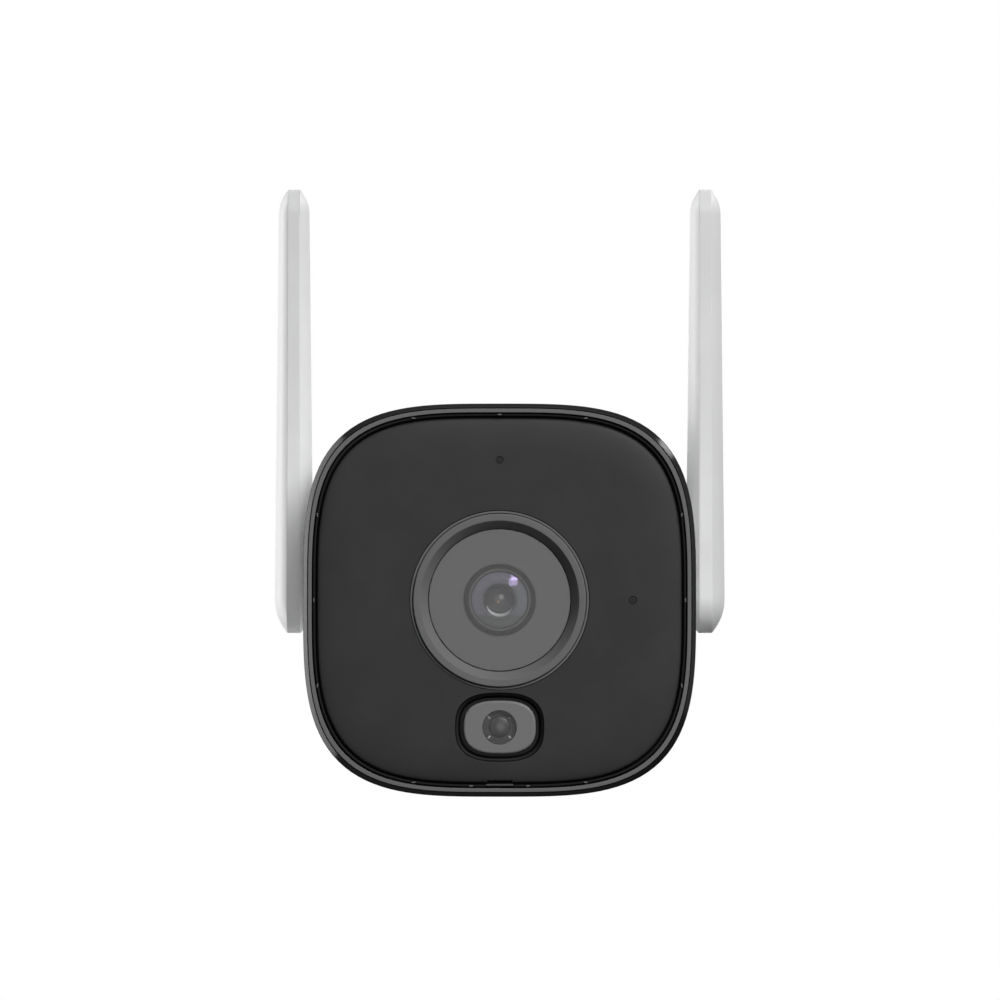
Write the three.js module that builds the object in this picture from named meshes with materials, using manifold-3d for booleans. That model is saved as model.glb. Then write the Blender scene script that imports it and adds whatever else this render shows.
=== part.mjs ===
// Outdoor bullet camera on a three-axis wall bracket, with two fold-down antennas.
// Sizes are millimetres. The wall is at y 0, the lens looks along -Y and +Z is up.
import * as THREE from 'three';
import { mergeVertices } from 'three/addons/utils/BufferGeometryUtils.js';
import Module from 'manifold-3d';

const wasm = await Module();
wasm.setup();

// Overall sizes
const faceSize = 83;
const faceSquareness = 3.5;
const bodyLength = 101.5;
const wallToTilt = 50;
const tiltToCap = 18.5;

// Fits shared by many pieces
const runGap = 0.3;
const overrun = 2;

// Facet counts
const faceSteps = 32;
const arcSteps = 3;
const roundSteps = 24;
const midSteps = 14;
const smallSteps = 8;
const hexSides = 6;
const lobeSteps = 4;
const circleSquareness = 2;

// Front bezel: a tray with a rounded rim
const rimShoulder = 1.1;
const rimShoulderDepth = 2;
const rimLand = 0.8;
const rimLedge = 0.7;
const rimLedgeDepth = 0.7;
const bezelDepth = 6.5;
const trayDepth = 3.6;
const trayFloor = 2;
const plugInset = 2.9;
const plugWall = 2;
const plugLength = 2.3;
const bossRadius = 3.4;

// Screws that hold the front
const frontScrewEdge = 1.622;
const screwHole = 1.7;
const screwShank = 1.45;
const frontHeadRadius = 2.8;
const frontHeadHeight = 1.1;
const frontHeadSink = 0.7;
const frontScrewLength = 15;
const headFit = 0.4;

// Front panel
const panelGap = 0.45;
const panelFront = 0.7;
const panelCrown = 8;
const panelCrownDrop = 1;
const panelHollow = 0.7;
const panelSeatWidth = 2;

// Lens ring, window and shroud
const lensOpeningShare = 0.45783;
const lensRingGap = 0.74;
const lensRingFront = 0.15;
const lensRingChamfer = 0.25;
const lensRingLand = 1.2;
const funnelOverlap = 0.65;
const funnelDepth = 3;
const windowSeatDepth = 3.3;
const windowInset = 3.4;
const windowThickness = 1.8;
const collarOverlap = 0.3;
const collarWall = 0.8;
const shroudMargin = 1;
const shroudBore = 7.4;
const clampGap = 1.2;

// Lens barrel and its glass
const barrelFront = 6.2;
const barrelHead = 6.6;
const barrelHeadEnd = 13;
const barrelThread = 5.9;
const barrelEnd = 26;
const barrelLip = 0.5;
const barrelBore = 4.2;
const barrelStopBore = 2.2;
const frontGlassRadius = 5.9;
const frontGlassSeat = 8.4;
const frontGlassEdge = 6.7;
const frontGlassBulge = 0.8;
const rearGlassRadius = 2.75;
const rearGlassFront = 10.4;
const rearGlassSeat = 12.4;
const rearGlassBulge = 0.5;
const glassFit = 0.2;

// Lens holder, night filter and sensor
const holderTube = 8.2;
const holderTubeFront = 16;
const holderFront = 24;
const holderBack = 33;
const holderWidth = 28;
const holderHeight = 18;
const sensorCavity = 13;
const sensorCavityDepth = 4;
const filterLength = 17;
const filterHeight = 9;
const filterThickness = 1;
const filterFront = 26.6;
const filterTravel = 7.5;
const filterStart = -12.2;
const solenoidWidth = 5;
const solenoidHeight = 8;
const sensorSize = 9;
const sensorThickness = 1.5;
const sensorBoardSize = 38;
const boardThickness = 1.6;

// Inner frame that carries the boards
const framePlate = 2;
const frameInset = 6;
const frameBore = 13.5;
const shortPostInset = 3.5;
const shortPostRadius = 2.2;
const longPostInset = 4;
const longPostRadius = 2.6;

// Main board
const mainBoardFront = 46;
const mainBoardSideRoom = 11.5;
const mainBoardEndRoom = 19.5;
const processorSize = 14;
const processorThickness = 1.5;
const heatSinkSize = 30;
const heatSinkBase = 2;
const heatSinkHeight = 10;
const finCount = 6;
const finThickness = 1.4;
const boardHeadRadius = 2.6;
const boardHeadHeight = 1.8;
const boardScrewLength = 8;

// Lamp under the lens
const lampGap = 0.46;
const lampSquareness = 2.7;
const lampHoleWidthShare = 0.22723;
const lampHoleHeightShare = 0.17687;
const lampMoatSide = 1.79;
const lampMoatEnd = 1.71;
const lampTowerFront = 1.1;
const lampTowerRound = 0.5;
const lampFlangeFront = 3;
const lampCavityRadius = 4;
const lampCavityFront = 2.1;
const lampTrayHole = 4.6;
const lampLensRadius = 3.64;
const lampLensFront = 2.4;
const lampLensRim = 0.5;
const lampLensFoot = 1.9;
const lampLensBore = 1.3;
const lampLensBoreDepth = 0.9;
const lampLedSize = 1.6;
const lampLedHeight = 0.8;
const lampBoardWidth = 22;
const lampBoardInset = 1.14;

// Microphone and status light in the panel
const micInset = 11.9;
const micHole = 0.8;
const micWidth = 4;
const micDepth = 3;
const statusInset = 13.4;
const statusHole = 0.9;
const statusPipe = 0.6;
const statusFront = 0.9;
const statusFlange = 1.8;

// Main housing
const housingInset = 0.3;
const housingChamfer = 0.25;
const housingTaper = 1.45;
const housingWall = 2.2;
const frontSealThickness = 0.5;
const frontSealInset = 0.8;
const frontSealWidth = 1.3;
const frontPostEnd = 22;
const housingPostRadius = 3.4;
const rearPostLength = 15.7;
const rearPostGap = 0.3;
const webThickness = 2;

// Rear cap
const capLength = 15.5;
const rearSealThickness = 0.5;
const rearSealWidth = 1.1;
const capStraight = 1.5;
const capFlatMargin = 1.85;
const capWall = 2.2;
const spigotLength = 4.5;
const spigotInset = 2.5;
const spigotWall = 1.8;
const rearScrewEdge = 9.608;
const capPostRadius = 3.9;
const rearHeadDepth = 8.5;
const rearHeadRadius = 2.7;
const rearHeadHeight = 2;
const rearScrewLength = 22;

// Cable gland in the rear cap
const glandGap = 2.8;
const glandBody = 4.2;
const glandBore = 3.2;
const glandFlange = 5.2;
const glandFlangeThickness = 1.6;
const glandNut = 5;
const glandNutThickness = 1.8;

// Card bay under the housing
const bayPlaceShare = 0.41861;
const bayPadLength = 23;
const bayPadWidth = 38;
const bayPadDepth = 6.5;
const baySealDepth = 3.3;
const baySealThickness = 0.6;
const bayOpeningWidth = 24;
const bayOpeningLength = 14;
const cardCoverWidth = 34;
const cardCoverLength = 20;
const cardSealWidth = 1.4;
const cardSealMargin = 0.2;
const cardScrewPlace = 15.4;
const cardScrewHead = 1.4;
const cardScrewHeadHeight = 0.7;
const cardScrewShank = 0.8;
const cardScrewHole = 1.05;
const cardScrewLength = 4;
const cardBoardLength = 30;
const cardBoardDepth = 18;
const cardBoardThickness = 1.2;
const cardSocketWidth = 14;
const cardSocketLength = 11;
const cardSocketHeight = 1.6;
const cardSocketPlace = -3.5;
const buttonPlace = 8.4;
const buttonRadius = 1;
const buttonCase = 2.1;
const buttonCaseHeight = 1.2;
const buttonLength = 1.5;
const buttonTravel = 0.5;
const buttonSpare = 0.1;

// Speaker under the housing
const speakerPlaceShare = 0.76744;
const speakerRadius = 13;
const speakerPadWall = 1.7;
const speakerPadDepth = 7.5;
const speakerFaceDepth = 4.2;
const speakerHeight = 10.3;
const speakerFlange = 3;
const speakerMagnet = 8;
const speakerMagnetHeight = 3;
const grilleCount = 5;
const grilleLength = 14;
const grilleSlot = 1.4;
const grillePitch = 3.2;

// Swivel shared by the wall end and the camera end
const cupRadius = 11.2;
const cupDepth = 3.3;
const cupWall = 2.2;
const swivelFlange = 10.9;
const swivelNeck = 7.8;
const ringBore = 8.2;
const ringLip = 2;
const ringSkirt = 4.6;
const ringFit = 0.4;
const ringWall = 1.7;
const ringLobes = 10;
const ringDip = 0.5;

// Wall plate
const plateRadius = 33;
const plateEdge = 3.2;
const plateRound = 1.2;
const plateCrown = 7.4;
const plateShoulder = 17;
const cupFloor = 9;
const recessInner = 9;
const recessOuter = 29.5;
const recessDepth = 2.6;
const plateScrewCount = 3;
const plateScrewCircle = 25;
const plateScrewHole = 2.3;
const plateScrewHead = 4.5;
const plateScrewSeat = 3.4;
const platePillar = 4.2;
const plateRib = 1.6;

// Pan arm with its fork, and the tilt link
const forkHalfWidth = 9.3;
const forkRadius = 9.5;
const forkSquareness = 4;
const forkStart = 15;
const armNeckLength = 5;
const slotHalfWidth = 4.3;
const slotRadius = 7.6;
const tongueHalfWidth = 4;
const tongueRadius = 7.2;
const linkNeckStart = 9.8;
const tongueSink = 1;
const boltShank = 2.45;
const boltHole = 2.7;
const boltHeadRadius = 4.2;
const boltHeadHeight = 3;
const boltHexRadius = 2;
const boltHexDepth = 1.6;
const boltSeatFit = 0.4;
const nutHeight = 2.4;

// Antennas, upright, with the pivot axis along X
const antennaPlaceShare = 0.72093;
const antennaHeight = 88.8;
const antennaBaseRadius = 7.86;
const antennaTipRadius = 5.6;
const antennaBaseThickness = 8.63;
const antennaTipThickness = 6.66;
const antennaBaseBand = 2.84;
const antennaTipBand = 2.5;
const antennaCrownPower = 2.3;
const antennaRingShares = [0, 0.18, 0.45, 0.8];
const antennaArcSteps = 6;
const antennaWall = 1.3;
const antennaSplit = -1.25;
const antennaHub = 5.2;
const antennaWell = 9;
const antennaHole = 3.3;
const antennaPadRadius = 6;
const antennaPadDepth = 4.1;
const spindleRadius = 3;
const spindleBore = 1.6;
const spindleFlange = 4.4;
const spindleFlangeFace = -2.6;
const spindleFlangeThickness = 1.2;
const spindleSnap = 3.9;
const spindleSnapLength = 1.8;
const channelHalfWidth = 1.1;
const channelReach = 1;
const antennaBoardWidth = 7;
const antennaBoardBottom = 12;
const antennaBoardTop = 72;
const antennaBoardThickness = 1;
const antennaPostRadius = 1.5;
const antennaPostShares = [0.2, 0.8];

// Places on the front
const faceHalf = faceSize / 2;
const cornerShare = 2 ** (-1 / faceSquareness);
const frontReach = wallToTilt + tiltToCap + bodyLength;
const trayBack = trayDepth + trayFloor;
const frameFront = trayBack + clampGap;
const frameBack = frameFront + framePlate;
const rimInner = faceHalf - rimShoulder - rimLand;
const trayHalf = rimInner - rimLedge;
const panelHalf = trayHalf - panelGap;
const plugHalf = faceHalf - plugInset;
const frontScrewPlace = (faceHalf - frameInset) * cornerShare - frontScrewEdge;
const micHeight = faceHalf - micInset;
const statusPlace = faceHalf - statusInset;

// Places round the lens and the lamp
const lensOpening = faceHalf * lensOpeningShare;
const lensRingRadius = lensOpening - lensRingGap;
const shroudFlange = lensOpening + shroudMargin;
const windowRadius = lensOpening - windowInset;
const funnelBottom = windowRadius - funnelOverlap;
const windowBack = windowSeatDepth + windowThickness;
const collarEnd = windowBack + collarOverlap;
const collarInner = windowRadius + runGap;
const collarOuter = collarInner + collarWall;
const lampHoleWidth = faceSize * lampHoleWidthShare;
const lampHoleHeight = faceSize * lampHoleHeightShare;
const lampTowerWidth = lampHoleWidth - 2 * lampMoatSide;
const lampTowerHeight = lampHoleHeight - 2 * lampMoatEnd;
const lampBoardHeight = lampHoleHeight - 2 * lampBoardInset;
const lampHeight = -lensOpening - lampGap - lampHoleHeight / 2;

// Places inside the housing and on its back
const shortPostPlace = sensorBoardSize / 2 - shortPostInset;
const mainBoardWidth = faceSize - 2 * mainBoardSideRoom;
const mainBoardHeight = faceSize - 2 * mainBoardEndRoom;
const longPostX = mainBoardWidth / 2 - longPostInset;
const longPostZ = mainBoardHeight / 2 - longPostInset;
const capBack = bodyLength;
const capInnerBack = capBack - capWall;
const housingFront = bezelDepth + frontSealThickness;
const housingBack = capBack - capLength;
const capFront = housingBack + rearSealThickness;
const housingBackHalf = faceHalf - housingInset - housingTaper;
const housingSlope = housingTaper / (housingBack - housingFront);
const hubOuter = cupRadius + cupWall;
const ringInner = hubOuter + ringFit;
const ringOuter = ringInner + ringWall;
const linkCupFloor = tiltToCap - glandFlangeThickness;
const glandHeight = -ringOuter - glandGap - glandFlange;
const capDomeInset = housingBackHalf + glandHeight - glandFlange - capFlatMargin;
const rearScrewPlace = housingBackHalf * cornerShare - rearScrewEdge;
const rearHeadSeat = capBack - rearHeadDepth;
const rearPostBack = capFront - spigotLength - rearPostGap;
const rearPostFront = rearPostBack - rearPostLength;

// Places under the housing and at its sides
const bayPlace = housingBack * bayPlaceShare;
const bayPadTop = bayPadDepth - faceHalf;
const baySealFace = baySealDepth - faceHalf;
const speakerPlace = housingBack * speakerPlaceShare;
const speakerPadTop = speakerPadDepth - faceHalf;
const speakerFace = speakerFaceDepth - faceHalf;
const antennaPlace = housingBack * antennaPlaceShare;
const antennaPadFace = faceHalf - antennaPadDepth;
const antennaAcross = housingHalfAt(antennaPlace) + runGap + antennaBaseThickness / 2;

// Half width of the housing at a depth behind the rim
function housingHalfAt(depth) {
  return faceHalf - housingInset - housingSlope * (depth - housingFront);
}

// Geometry with merged corners, no slivers and its faces pointing out
function closed(source) {
  const bare = source.clone();
  bare.deleteAttribute('normal');
  bare.deleteAttribute('uv');
  const merged = mergeVertices(bare);
  const corners = merged.attributes.position;
  const points = [];
  for (let i = 0; i < corners.count; i++) {
    points.push(new THREE.Vector3().fromBufferAttribute(corners, i));
  }
  const faces = [];
  let volume = 0;
  for (let i = 0; i < merged.index.count; i += 3) {
    const [a, b, c] = [0, 1, 2].map((corner) => merged.index.getX(i + corner));
    if (a === b || b === c || c === a) continue;
    faces.push(a, b, c);
    volume += points[a].dot(points[b].clone().cross(points[c]));
  }
  if (volume < 0) faces.reverse();
  merged.setIndex(faces);
  return merged;
}

function solidOf(geometry) {
  const source = closed(geometry);
  return new wasm.Manifold(new wasm.Mesh({
    numProp: 3,
    vertProperties: new Float32Array(source.attributes.position.array),
    triVerts: new Uint32Array(source.index.array),
  }));
}

function geometryOf(solid) {
  const mesh = solid.getMesh();
  const geometry = new THREE.BufferGeometry();
  geometry.setAttribute('position', new THREE.BufferAttribute(mesh.vertProperties.slice(), 3));
  geometry.setIndex(new THREE.BufferAttribute(mesh.triVerts.slice(), 1));
  return geometry;
}

function cut(base, ...tools) {
  return geometryOf(tools.reduce((solid, tool) => solid.subtract(solidOf(tool)), solidOf(base)));
}

function join(base, ...others) {
  return geometryOf(others.reduce((solid, other) => solid.add(solidOf(other)), solidOf(base)));
}

function shared(base, limit) {
  return geometryOf(solidOf(base).intersect(solidOf(limit)));
}

// Ring of points on a rounded square, upright, at a depth
function oval(halfWidth, halfHeight, depth, squareness, steps = faceSteps) {
  const ring = [];
  for (let i = 0; i < steps; i++) {
    const angle = (i / steps) * Math.PI * 2;
    const across = Math.cos(angle);
    const up = Math.sin(angle);
    const x = Math.sign(across) * halfWidth * Math.abs(across) ** (2 / squareness);
    const z = Math.sign(up) * halfHeight * Math.abs(up) ** (2 / squareness);
    ring.push(new THREE.Vector3(x, depth, z));
  }
  return ring;
}

function faceRing(half, depth) {
  return oval(half, half, depth, faceSquareness);
}

// Ring of points with shallow finger grips
function lobedRing(radius, depth) {
  const ring = [];
  const steps = ringLobes * lobeSteps;
  for (let i = 0; i < steps; i++) {
    const angle = (i / steps) * Math.PI * 2;
    const reach = radius - ringDip * (1 - Math.cos(angle * ringLobes)) / 2;
    ring.push(new THREE.Vector3(Math.cos(angle) * reach, depth, Math.sin(angle) * reach));
  }
  return ring;
}

// Closed skin over rings of equal length, with a fan at each end
function loft(rings) {
  const count = rings[0].length;
  const points = rings.flat();
  const faces = [];
  for (let start = 0; start + count < points.length; start += count) {
    for (let i = 0; i < count; i++) {
      const a = start + i;
      const b = start + (i + 1) % count;
      faces.push(a, a + count, b, b, a + count, b + count);
    }
  }
  for (const start of [0, points.length - count]) {
    const ends = rings[start === 0 ? 0 : rings.length - 1];
    const middle = ends.reduce((sum, point) => sum.add(point), new THREE.Vector3());
    const hub = rings.length * count + (start === 0 ? 0 : 1);
    points.push(middle.divideScalar(count));
    for (let i = 0; i < count; i++) {
      const a = start + i;
      const b = start + (i + 1) % count;
      faces.push(...(start === 0 ? [hub, a, b] : [hub, b, a]));
    }
  }
  const geometry = new THREE.BufferGeometry().setFromPoints(points);
  geometry.setIndex(faces);
  return closed(geometry);
}

// Rings of a quarter arc, from a flat front face out to the full outline
function shoulderRings(half, front, inset, length, ringAt = faceRing) {
  const rings = [];
  for (let i = 0; i <= arcSteps; i++) {
    const angle = (i / arcSteps) * Math.PI / 2;
    rings.push(ringAt(half - inset * (1 - Math.sin(angle)), front + length * (1 - Math.cos(angle))));
  }
  return rings;
}

// Rings of a quarter arc, from the full outline in to a flat back face
function domeRings(half, back, inset, length) {
  return shoulderRings(half, -back, inset, length, (size, depth) => faceRing(size, -depth)).reverse();
}

// Solid of revolution about the Y axis, from radius and depth pairs
function turned(profile, steps = roundSteps) {
  const points = profile.map(([radius, depth]) => new THREE.Vector2(radius, depth));
  return closed(new THREE.LatheGeometry(points, steps));
}

function ring(inner, outer, front, back, steps = roundSteps) {
  return turned([[inner, front], [outer, front], [outer, back], [inner, back], [inner, front]], steps);
}

function rod(radius, front, back, x = 0, z = 0, steps = smallSteps) {
  const geometry = new THREE.CylinderGeometry(radius, radius, back - front, steps);
  return geometry.translate(x, (front + back) / 2, z);
}

function rodAlongX(radius, from, to, steps = midSteps) {
  return rod(radius, from, to, 0, 0, steps).rotateZ(-Math.PI / 2);
}

function rodAlongZ(radius, from, to, x, y, steps = smallSteps) {
  return rod(radius, from, to, 0, 0, steps).rotateX(Math.PI / 2).translate(x, y, 0);
}

function block(fromX, toX, fromY, toY, fromZ, toZ) {
  const geometry = new THREE.BoxGeometry(toX - fromX, toY - fromY, toZ - fromZ);
  return geometry.translate((fromX + toX) / 2, (fromY + toY) / 2, (fromZ + toZ) / 2);
}

// Block centred on the lens axis, from front to back
function plate(width, height, front, back, z = 0) {
  return block(-width / 2, width / 2, front, back, z - height / 2, z + height / 2);
}

// Calls make with each corner of a square or rectangle of places
function corners(x, z, make) {
  return [[x, z], [-x, z], [-x, -z], [x, -z]].map(([placeX, placeZ]) => make(placeX, placeZ));
}

function finish(color, roughness, metalness = 0) {
  return { color, roughness, metalness };
}

const whitePlastic = finish(0xe9eaea, 0.45);
const darkPlastic = finish(0x2e3033, 0.35);
const blackPlastic = finish(0x17181a, 0.5);
const clearPlastic = finish(0x6d7275, 0.1);
const coatedGlass = finish(0x5e6c78, 0.05);
const steel = finish(0xb9bcc0, 0.3, 1);
const aluminium = finish(0xa9adb2, 0.4, 1);
const rubber = finish(0x1b1b1c, 0.8);
const circuitBoard = finish(0x1f5a3a, 0.6);
const chipPlastic = finish(0x202124, 0.6);

const camera = new THREE.Group();
const body = new THREE.Group();
body.position.set(0, -frontReach, 0);
const pivot = new THREE.Group();
pivot.position.set(0, -wallToTilt, 0);
camera.add(body, pivot);

function add(parent, name, geometry, look) {
  const mesh = new THREE.Mesh(closed(geometry), new THREE.MeshStandardMaterial(look));
  mesh.name = name;
  parent.add(mesh);
}

// Front of the camera

function makeBezel() {
  const outside = loft([
    ...shoulderRings(faceHalf, 0, rimShoulder, rimShoulderDepth),
    faceRing(faceHalf, bezelDepth),
    faceRing(plugHalf, bezelDepth),
    faceRing(plugHalf, bezelDepth + plugLength),
  ]);
  const tray = loft([
    faceRing(rimInner, -overrun),
    faceRing(rimInner, rimLedgeDepth),
    faceRing(trayHalf, rimLedgeDepth),
    faceRing(trayHalf, trayDepth),
  ]);
  const back = loft([
    faceRing(plugHalf - plugWall, trayBack),
    faceRing(plugHalf - plugWall, bezelDepth + plugLength + overrun),
  ]);
  const bosses = corners(frontScrewPlace, frontScrewPlace, (x, z) =>
    rod(bossRadius, trayDepth + frontHeadSink, frameFront, x, z));
  const holes = corners(frontScrewPlace, frontScrewPlace, (x, z) => join(
    rod(screwHole, trayDepth - overrun, frameFront + overrun, x, z),
    rod(frontHeadRadius + headFit, trayDepth - overrun, trayDepth + frontHeadSink, x, z)));
  const through = [
    rod(collarOuter + runGap, trayDepth - overrun, trayBack + overrun, 0, 0, roundSteps),
    rod(lampTrayHole, trayDepth - overrun, trayBack + overrun, 0, lampHeight, midSteps),
    rod(micHole, trayDepth - overrun, trayBack + overrun, 0, micHeight),
    rod(statusHole, trayDepth - overrun, trayBack + overrun, statusPlace, 0),
  ];
  return cut(join(cut(outside, tray, back), ...bosses), ...holes, ...through);
}

function makePanel() {
  const face = loft([
    ...shoulderRings(panelHalf, panelFront, panelCrown, panelCrownDrop),
    faceRing(panelHalf, trayDepth),
  ]);
  const hollow = loft([
    faceRing(panelHalf - panelSeatWidth, trayDepth - panelHollow),
    faceRing(panelHalf - panelSeatWidth, trayDepth + overrun),
  ]);
  const lampHole = loft([-overrun, trayDepth + overrun].map((depth) =>
    oval(lampHoleWidth / 2, lampHoleHeight / 2, depth, lampSquareness, roundSteps)));
  return cut(
    face,
    hollow,
    lampHole.translate(0, 0, lampHeight),
    rod(lensOpening, -overrun, trayDepth + overrun, 0, 0, roundSteps),
    rod(micHole, -overrun, trayDepth + overrun, 0, micHeight),
    rod(statusHole, -overrun, trayDepth + overrun, statusPlace, 0),
  );
}

function makeLensRing() {
  return turned([
    [lensRingRadius - lensRingChamfer, lensRingFront],
    [lensRingRadius - lensRingChamfer - lensRingLand, lensRingFront],
    [funnelBottom, funnelDepth],
    [funnelBottom, windowSeatDepth],
    [collarInner, windowSeatDepth],
    [collarInner, collarEnd],
    [collarOuter, collarEnd],
    [collarOuter, trayDepth],
    [lensRingRadius, trayDepth],
    [lensRingRadius, lensRingFront + lensRingChamfer],
    [lensRingRadius - lensRingChamfer, lensRingFront],
  ]);
}

function makeShroud() {
  return turned([
    [shroudBore, windowBack],
    [windowRadius, windowBack],
    [windowRadius, trayBack],
    [shroudFlange, trayBack],
    [shroudFlange, frameFront],
    [shroudBore, frameFront],
    [shroudBore, windowBack],
  ]);
}

function makeLampWindow() {
  const towerHalf = [lampTowerWidth / 2, lampTowerHeight / 2];
  const towerRing = (inset, depth) =>
    oval(towerHalf[0] - inset, towerHalf[1] - inset, depth, lampSquareness, roundSteps);
  const flangeRing = (depth) => oval(lampHoleWidth / 2 - runGap, lampHoleHeight / 2 - runGap, depth,
    lampSquareness, roundSteps);
  const outside = loft([
    towerRing(lampTowerRound, lampTowerFront),
    towerRing(0, lampTowerFront + lampTowerRound),
    towerRing(0, lampFlangeFront),
    flangeRing(lampFlangeFront),
    flangeRing(trayDepth),
  ]);
  return cut(outside, rod(lampCavityRadius, lampCavityFront, trayDepth + overrun, 0, 0, midSteps));
}

function makeLampLens() {
  return turned([
    [0, lampLensFront],
    [lampLensRadius, lampLensFront],
    [lampLensRadius, lampLensFront + lampLensRim],
    [lampLensFoot, trayBack],
    [lampLensBore, trayBack],
    [lampLensBore, trayBack - lampLensBoreDepth],
    [0, trayBack - lampLensBoreDepth],
  ], midSteps);
}

function makeStatusPipe() {
  return turned([
    [0, statusFront],
    [statusPipe, statusFront],
    [statusPipe, trayBack],
    [statusFlange, trayBack],
    [statusFlange, frameFront],
    [0, frameFront],
  ], smallSteps);
}

add(body, 'front_bezel', makeBezel(), darkPlastic);
add(body, 'front_panel', makePanel(), darkPlastic);
add(body, 'lens_ring', makeLensRing(), darkPlastic);
add(body, 'lens_window', rod(windowRadius, windowSeatDepth, windowBack, 0, 0, roundSteps), clearPlastic);
add(body, 'lens_shroud', makeShroud(), blackPlastic);
add(body, 'lamp_window', makeLampWindow().translate(0, 0, lampHeight), clearPlastic);
add(body, 'lamp_lens', makeLampLens().translate(0, 0, lampHeight), clearPlastic);
add(body, 'lamp_led', plate(lampLedSize, lampLedSize, trayBack - lampLedHeight, trayBack, lampHeight),
  finish(0xe8d98a, 0.5));
add(body, 'lamp_board', plate(lampBoardWidth, lampBoardHeight, trayBack, frameFront, lampHeight),
  circuitBoard);
add(body, 'microphone', plate(micWidth, micDepth, trayBack, frameFront, micHeight), steel);
add(body, 'status_light_pipe', makeStatusPipe().translate(statusPlace, 0, 0), clearPlastic);

// Optics

function makeBarrel() {
  const headBore = barrelHead - barrelLip;
  return turned([
    [headBore, barrelFront],
    [barrelHead, barrelFront],
    [barrelHead, barrelHeadEnd],
    [barrelThread, barrelHeadEnd],
    [barrelThread, barrelEnd],
    [barrelBore, barrelEnd],
    [barrelBore, barrelHeadEnd],
    [barrelStopBore, barrelHeadEnd],
    [barrelStopBore, rearGlassSeat],
    [rearGlassRadius + glassFit, rearGlassSeat],
    [rearGlassRadius + glassFit, rearGlassFront],
    [barrelBore, rearGlassFront],
    [barrelBore, frontGlassSeat],
    [headBore, frontGlassSeat],
    [headBore, barrelFront],
  ], midSteps);
}

// Lens with a bulging front, from its edge depth back to a flat seat
function makeGlass(radius, edge, seat, bulge) {
  const profile = [];
  for (let i = 0; i <= arcSteps; i++) {
    const share = i / arcSteps;
    profile.push([radius * share, edge - bulge * (1 - share ** 2)]);
  }
  profile.push([radius, seat], [0, seat]);
  return turned(profile, midSteps);
}

function makeHolder() {
  const filterSlot = block(
    filterStart - runGap, filterStart + filterLength + filterTravel + runGap,
    filterFront - runGap, filterFront + filterThickness + runGap,
    -filterHeight / 2 - runGap, filterHeight / 2 + runGap);
  return cut(
    join(
      plate(holderWidth, holderHeight, holderFront, holderBack),
      rod(holderTube, holderTubeFront, holderFront + overrun, 0, 0, midSteps)),
    rod(barrelThread + runGap, holderTubeFront - overrun, holderBack - sensorCavityDepth + overrun, 0, 0,
      midSteps),
    filterSlot,
    plate(sensorCavity, sensorCavity, holderBack - sensorCavityDepth, holderBack + overrun));
}

function makeFilter() {
  const back = filterFront + filterThickness;
  const end = filterStart + filterLength;
  return block(filterStart, end, filterFront, back, -filterHeight / 2, filterHeight / 2);
}

function makeSolenoid() {
  const side = -holderWidth / 2;
  return block(side - solenoidWidth, side, holderFront, holderBack, -solenoidHeight / 2,
    solenoidHeight / 2);
}

add(body, 'lens_barrel', makeBarrel(), blackPlastic);
add(body, 'front_lens_element',
  makeGlass(frontGlassRadius, frontGlassEdge, frontGlassSeat, frontGlassBulge), coatedGlass);
add(body, 'rear_lens_element',
  makeGlass(rearGlassRadius, rearGlassFront + rearGlassBulge, rearGlassSeat, rearGlassBulge), coatedGlass);
add(body, 'lens_holder', makeHolder(), blackPlastic);
add(body, 'ir_filter', makeFilter(), coatedGlass);
add(body, 'filter_solenoid', makeSolenoid(), finish(0x9a6a3a, 0.5));
add(body, 'image_sensor', plate(sensorSize, sensorSize, holderBack - sensorThickness, holderBack),
  chipPlastic);
add(body, 'sensor_board', plate(sensorBoardSize, sensorBoardSize, holderBack, holderBack + boardThickness),
  circuitBoard);

// Frame and main board

function makeFrame() {
  const sheet = loft([
    faceRing(faceHalf - frameInset, frameFront),
    faceRing(faceHalf - frameInset, frameBack),
  ]);
  const shortPosts = corners(shortPostPlace, shortPostPlace, (x, z) =>
    rod(shortPostRadius, frameFront, holderBack, x, z));
  const longPosts = corners(longPostX, longPostZ, (x, z) =>
    rod(longPostRadius, frameFront, mainBoardFront, x, z));
  const screwHoles = corners(frontScrewPlace, frontScrewPlace, (x, z) =>
    rod(screwHole, frameFront - overrun, frameBack + overrun, x, z));
  const boardHoles = corners(longPostX, longPostZ, (x, z) =>
    rod(screwHole, mainBoardFront - boardScrewLength, mainBoardFront + overrun, x, z));
  return cut(
    join(sheet, ...shortPosts, ...longPosts),
    rod(frameBore, frameFront - overrun, frameBack + overrun, 0, 0, midSteps),
    ...screwHoles,
    ...boardHoles);
}

function makeMainBoard() {
  const holes = corners(longPostX, longPostZ, (x, z) =>
    rod(screwHole, mainBoardFront - overrun, mainBoardBack + overrun, x, z));
  return cut(plate(mainBoardWidth, mainBoardHeight, mainBoardFront, mainBoardBack), ...holes);
}

function makeHeatSink() {
  const front = mainBoardBack + processorThickness;
  const fins = [];
  for (let i = 0; i < finCount; i++) {
    const start = -heatSinkSize / 2 + (heatSinkSize - finThickness) * i / (finCount - 1);
    fins.push(block(start, start + finThickness, front, front + heatSinkHeight,
      -heatSinkSize / 2, heatSinkSize / 2));
  }
  return join(plate(heatSinkSize, heatSinkSize, front, front + heatSinkBase), ...fins);
}

// Pan-head screw driven towards +Y, with its head's face on a seat
function makeScrew(head, headHeight, shank, length, seat) {
  return turned([
    [0, seat - headHeight],
    [head, seat - headHeight],
    [head, seat],
    [shank, seat],
    [shank, seat + length],
    [0, seat + length],
  ], smallSteps);
}

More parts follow.
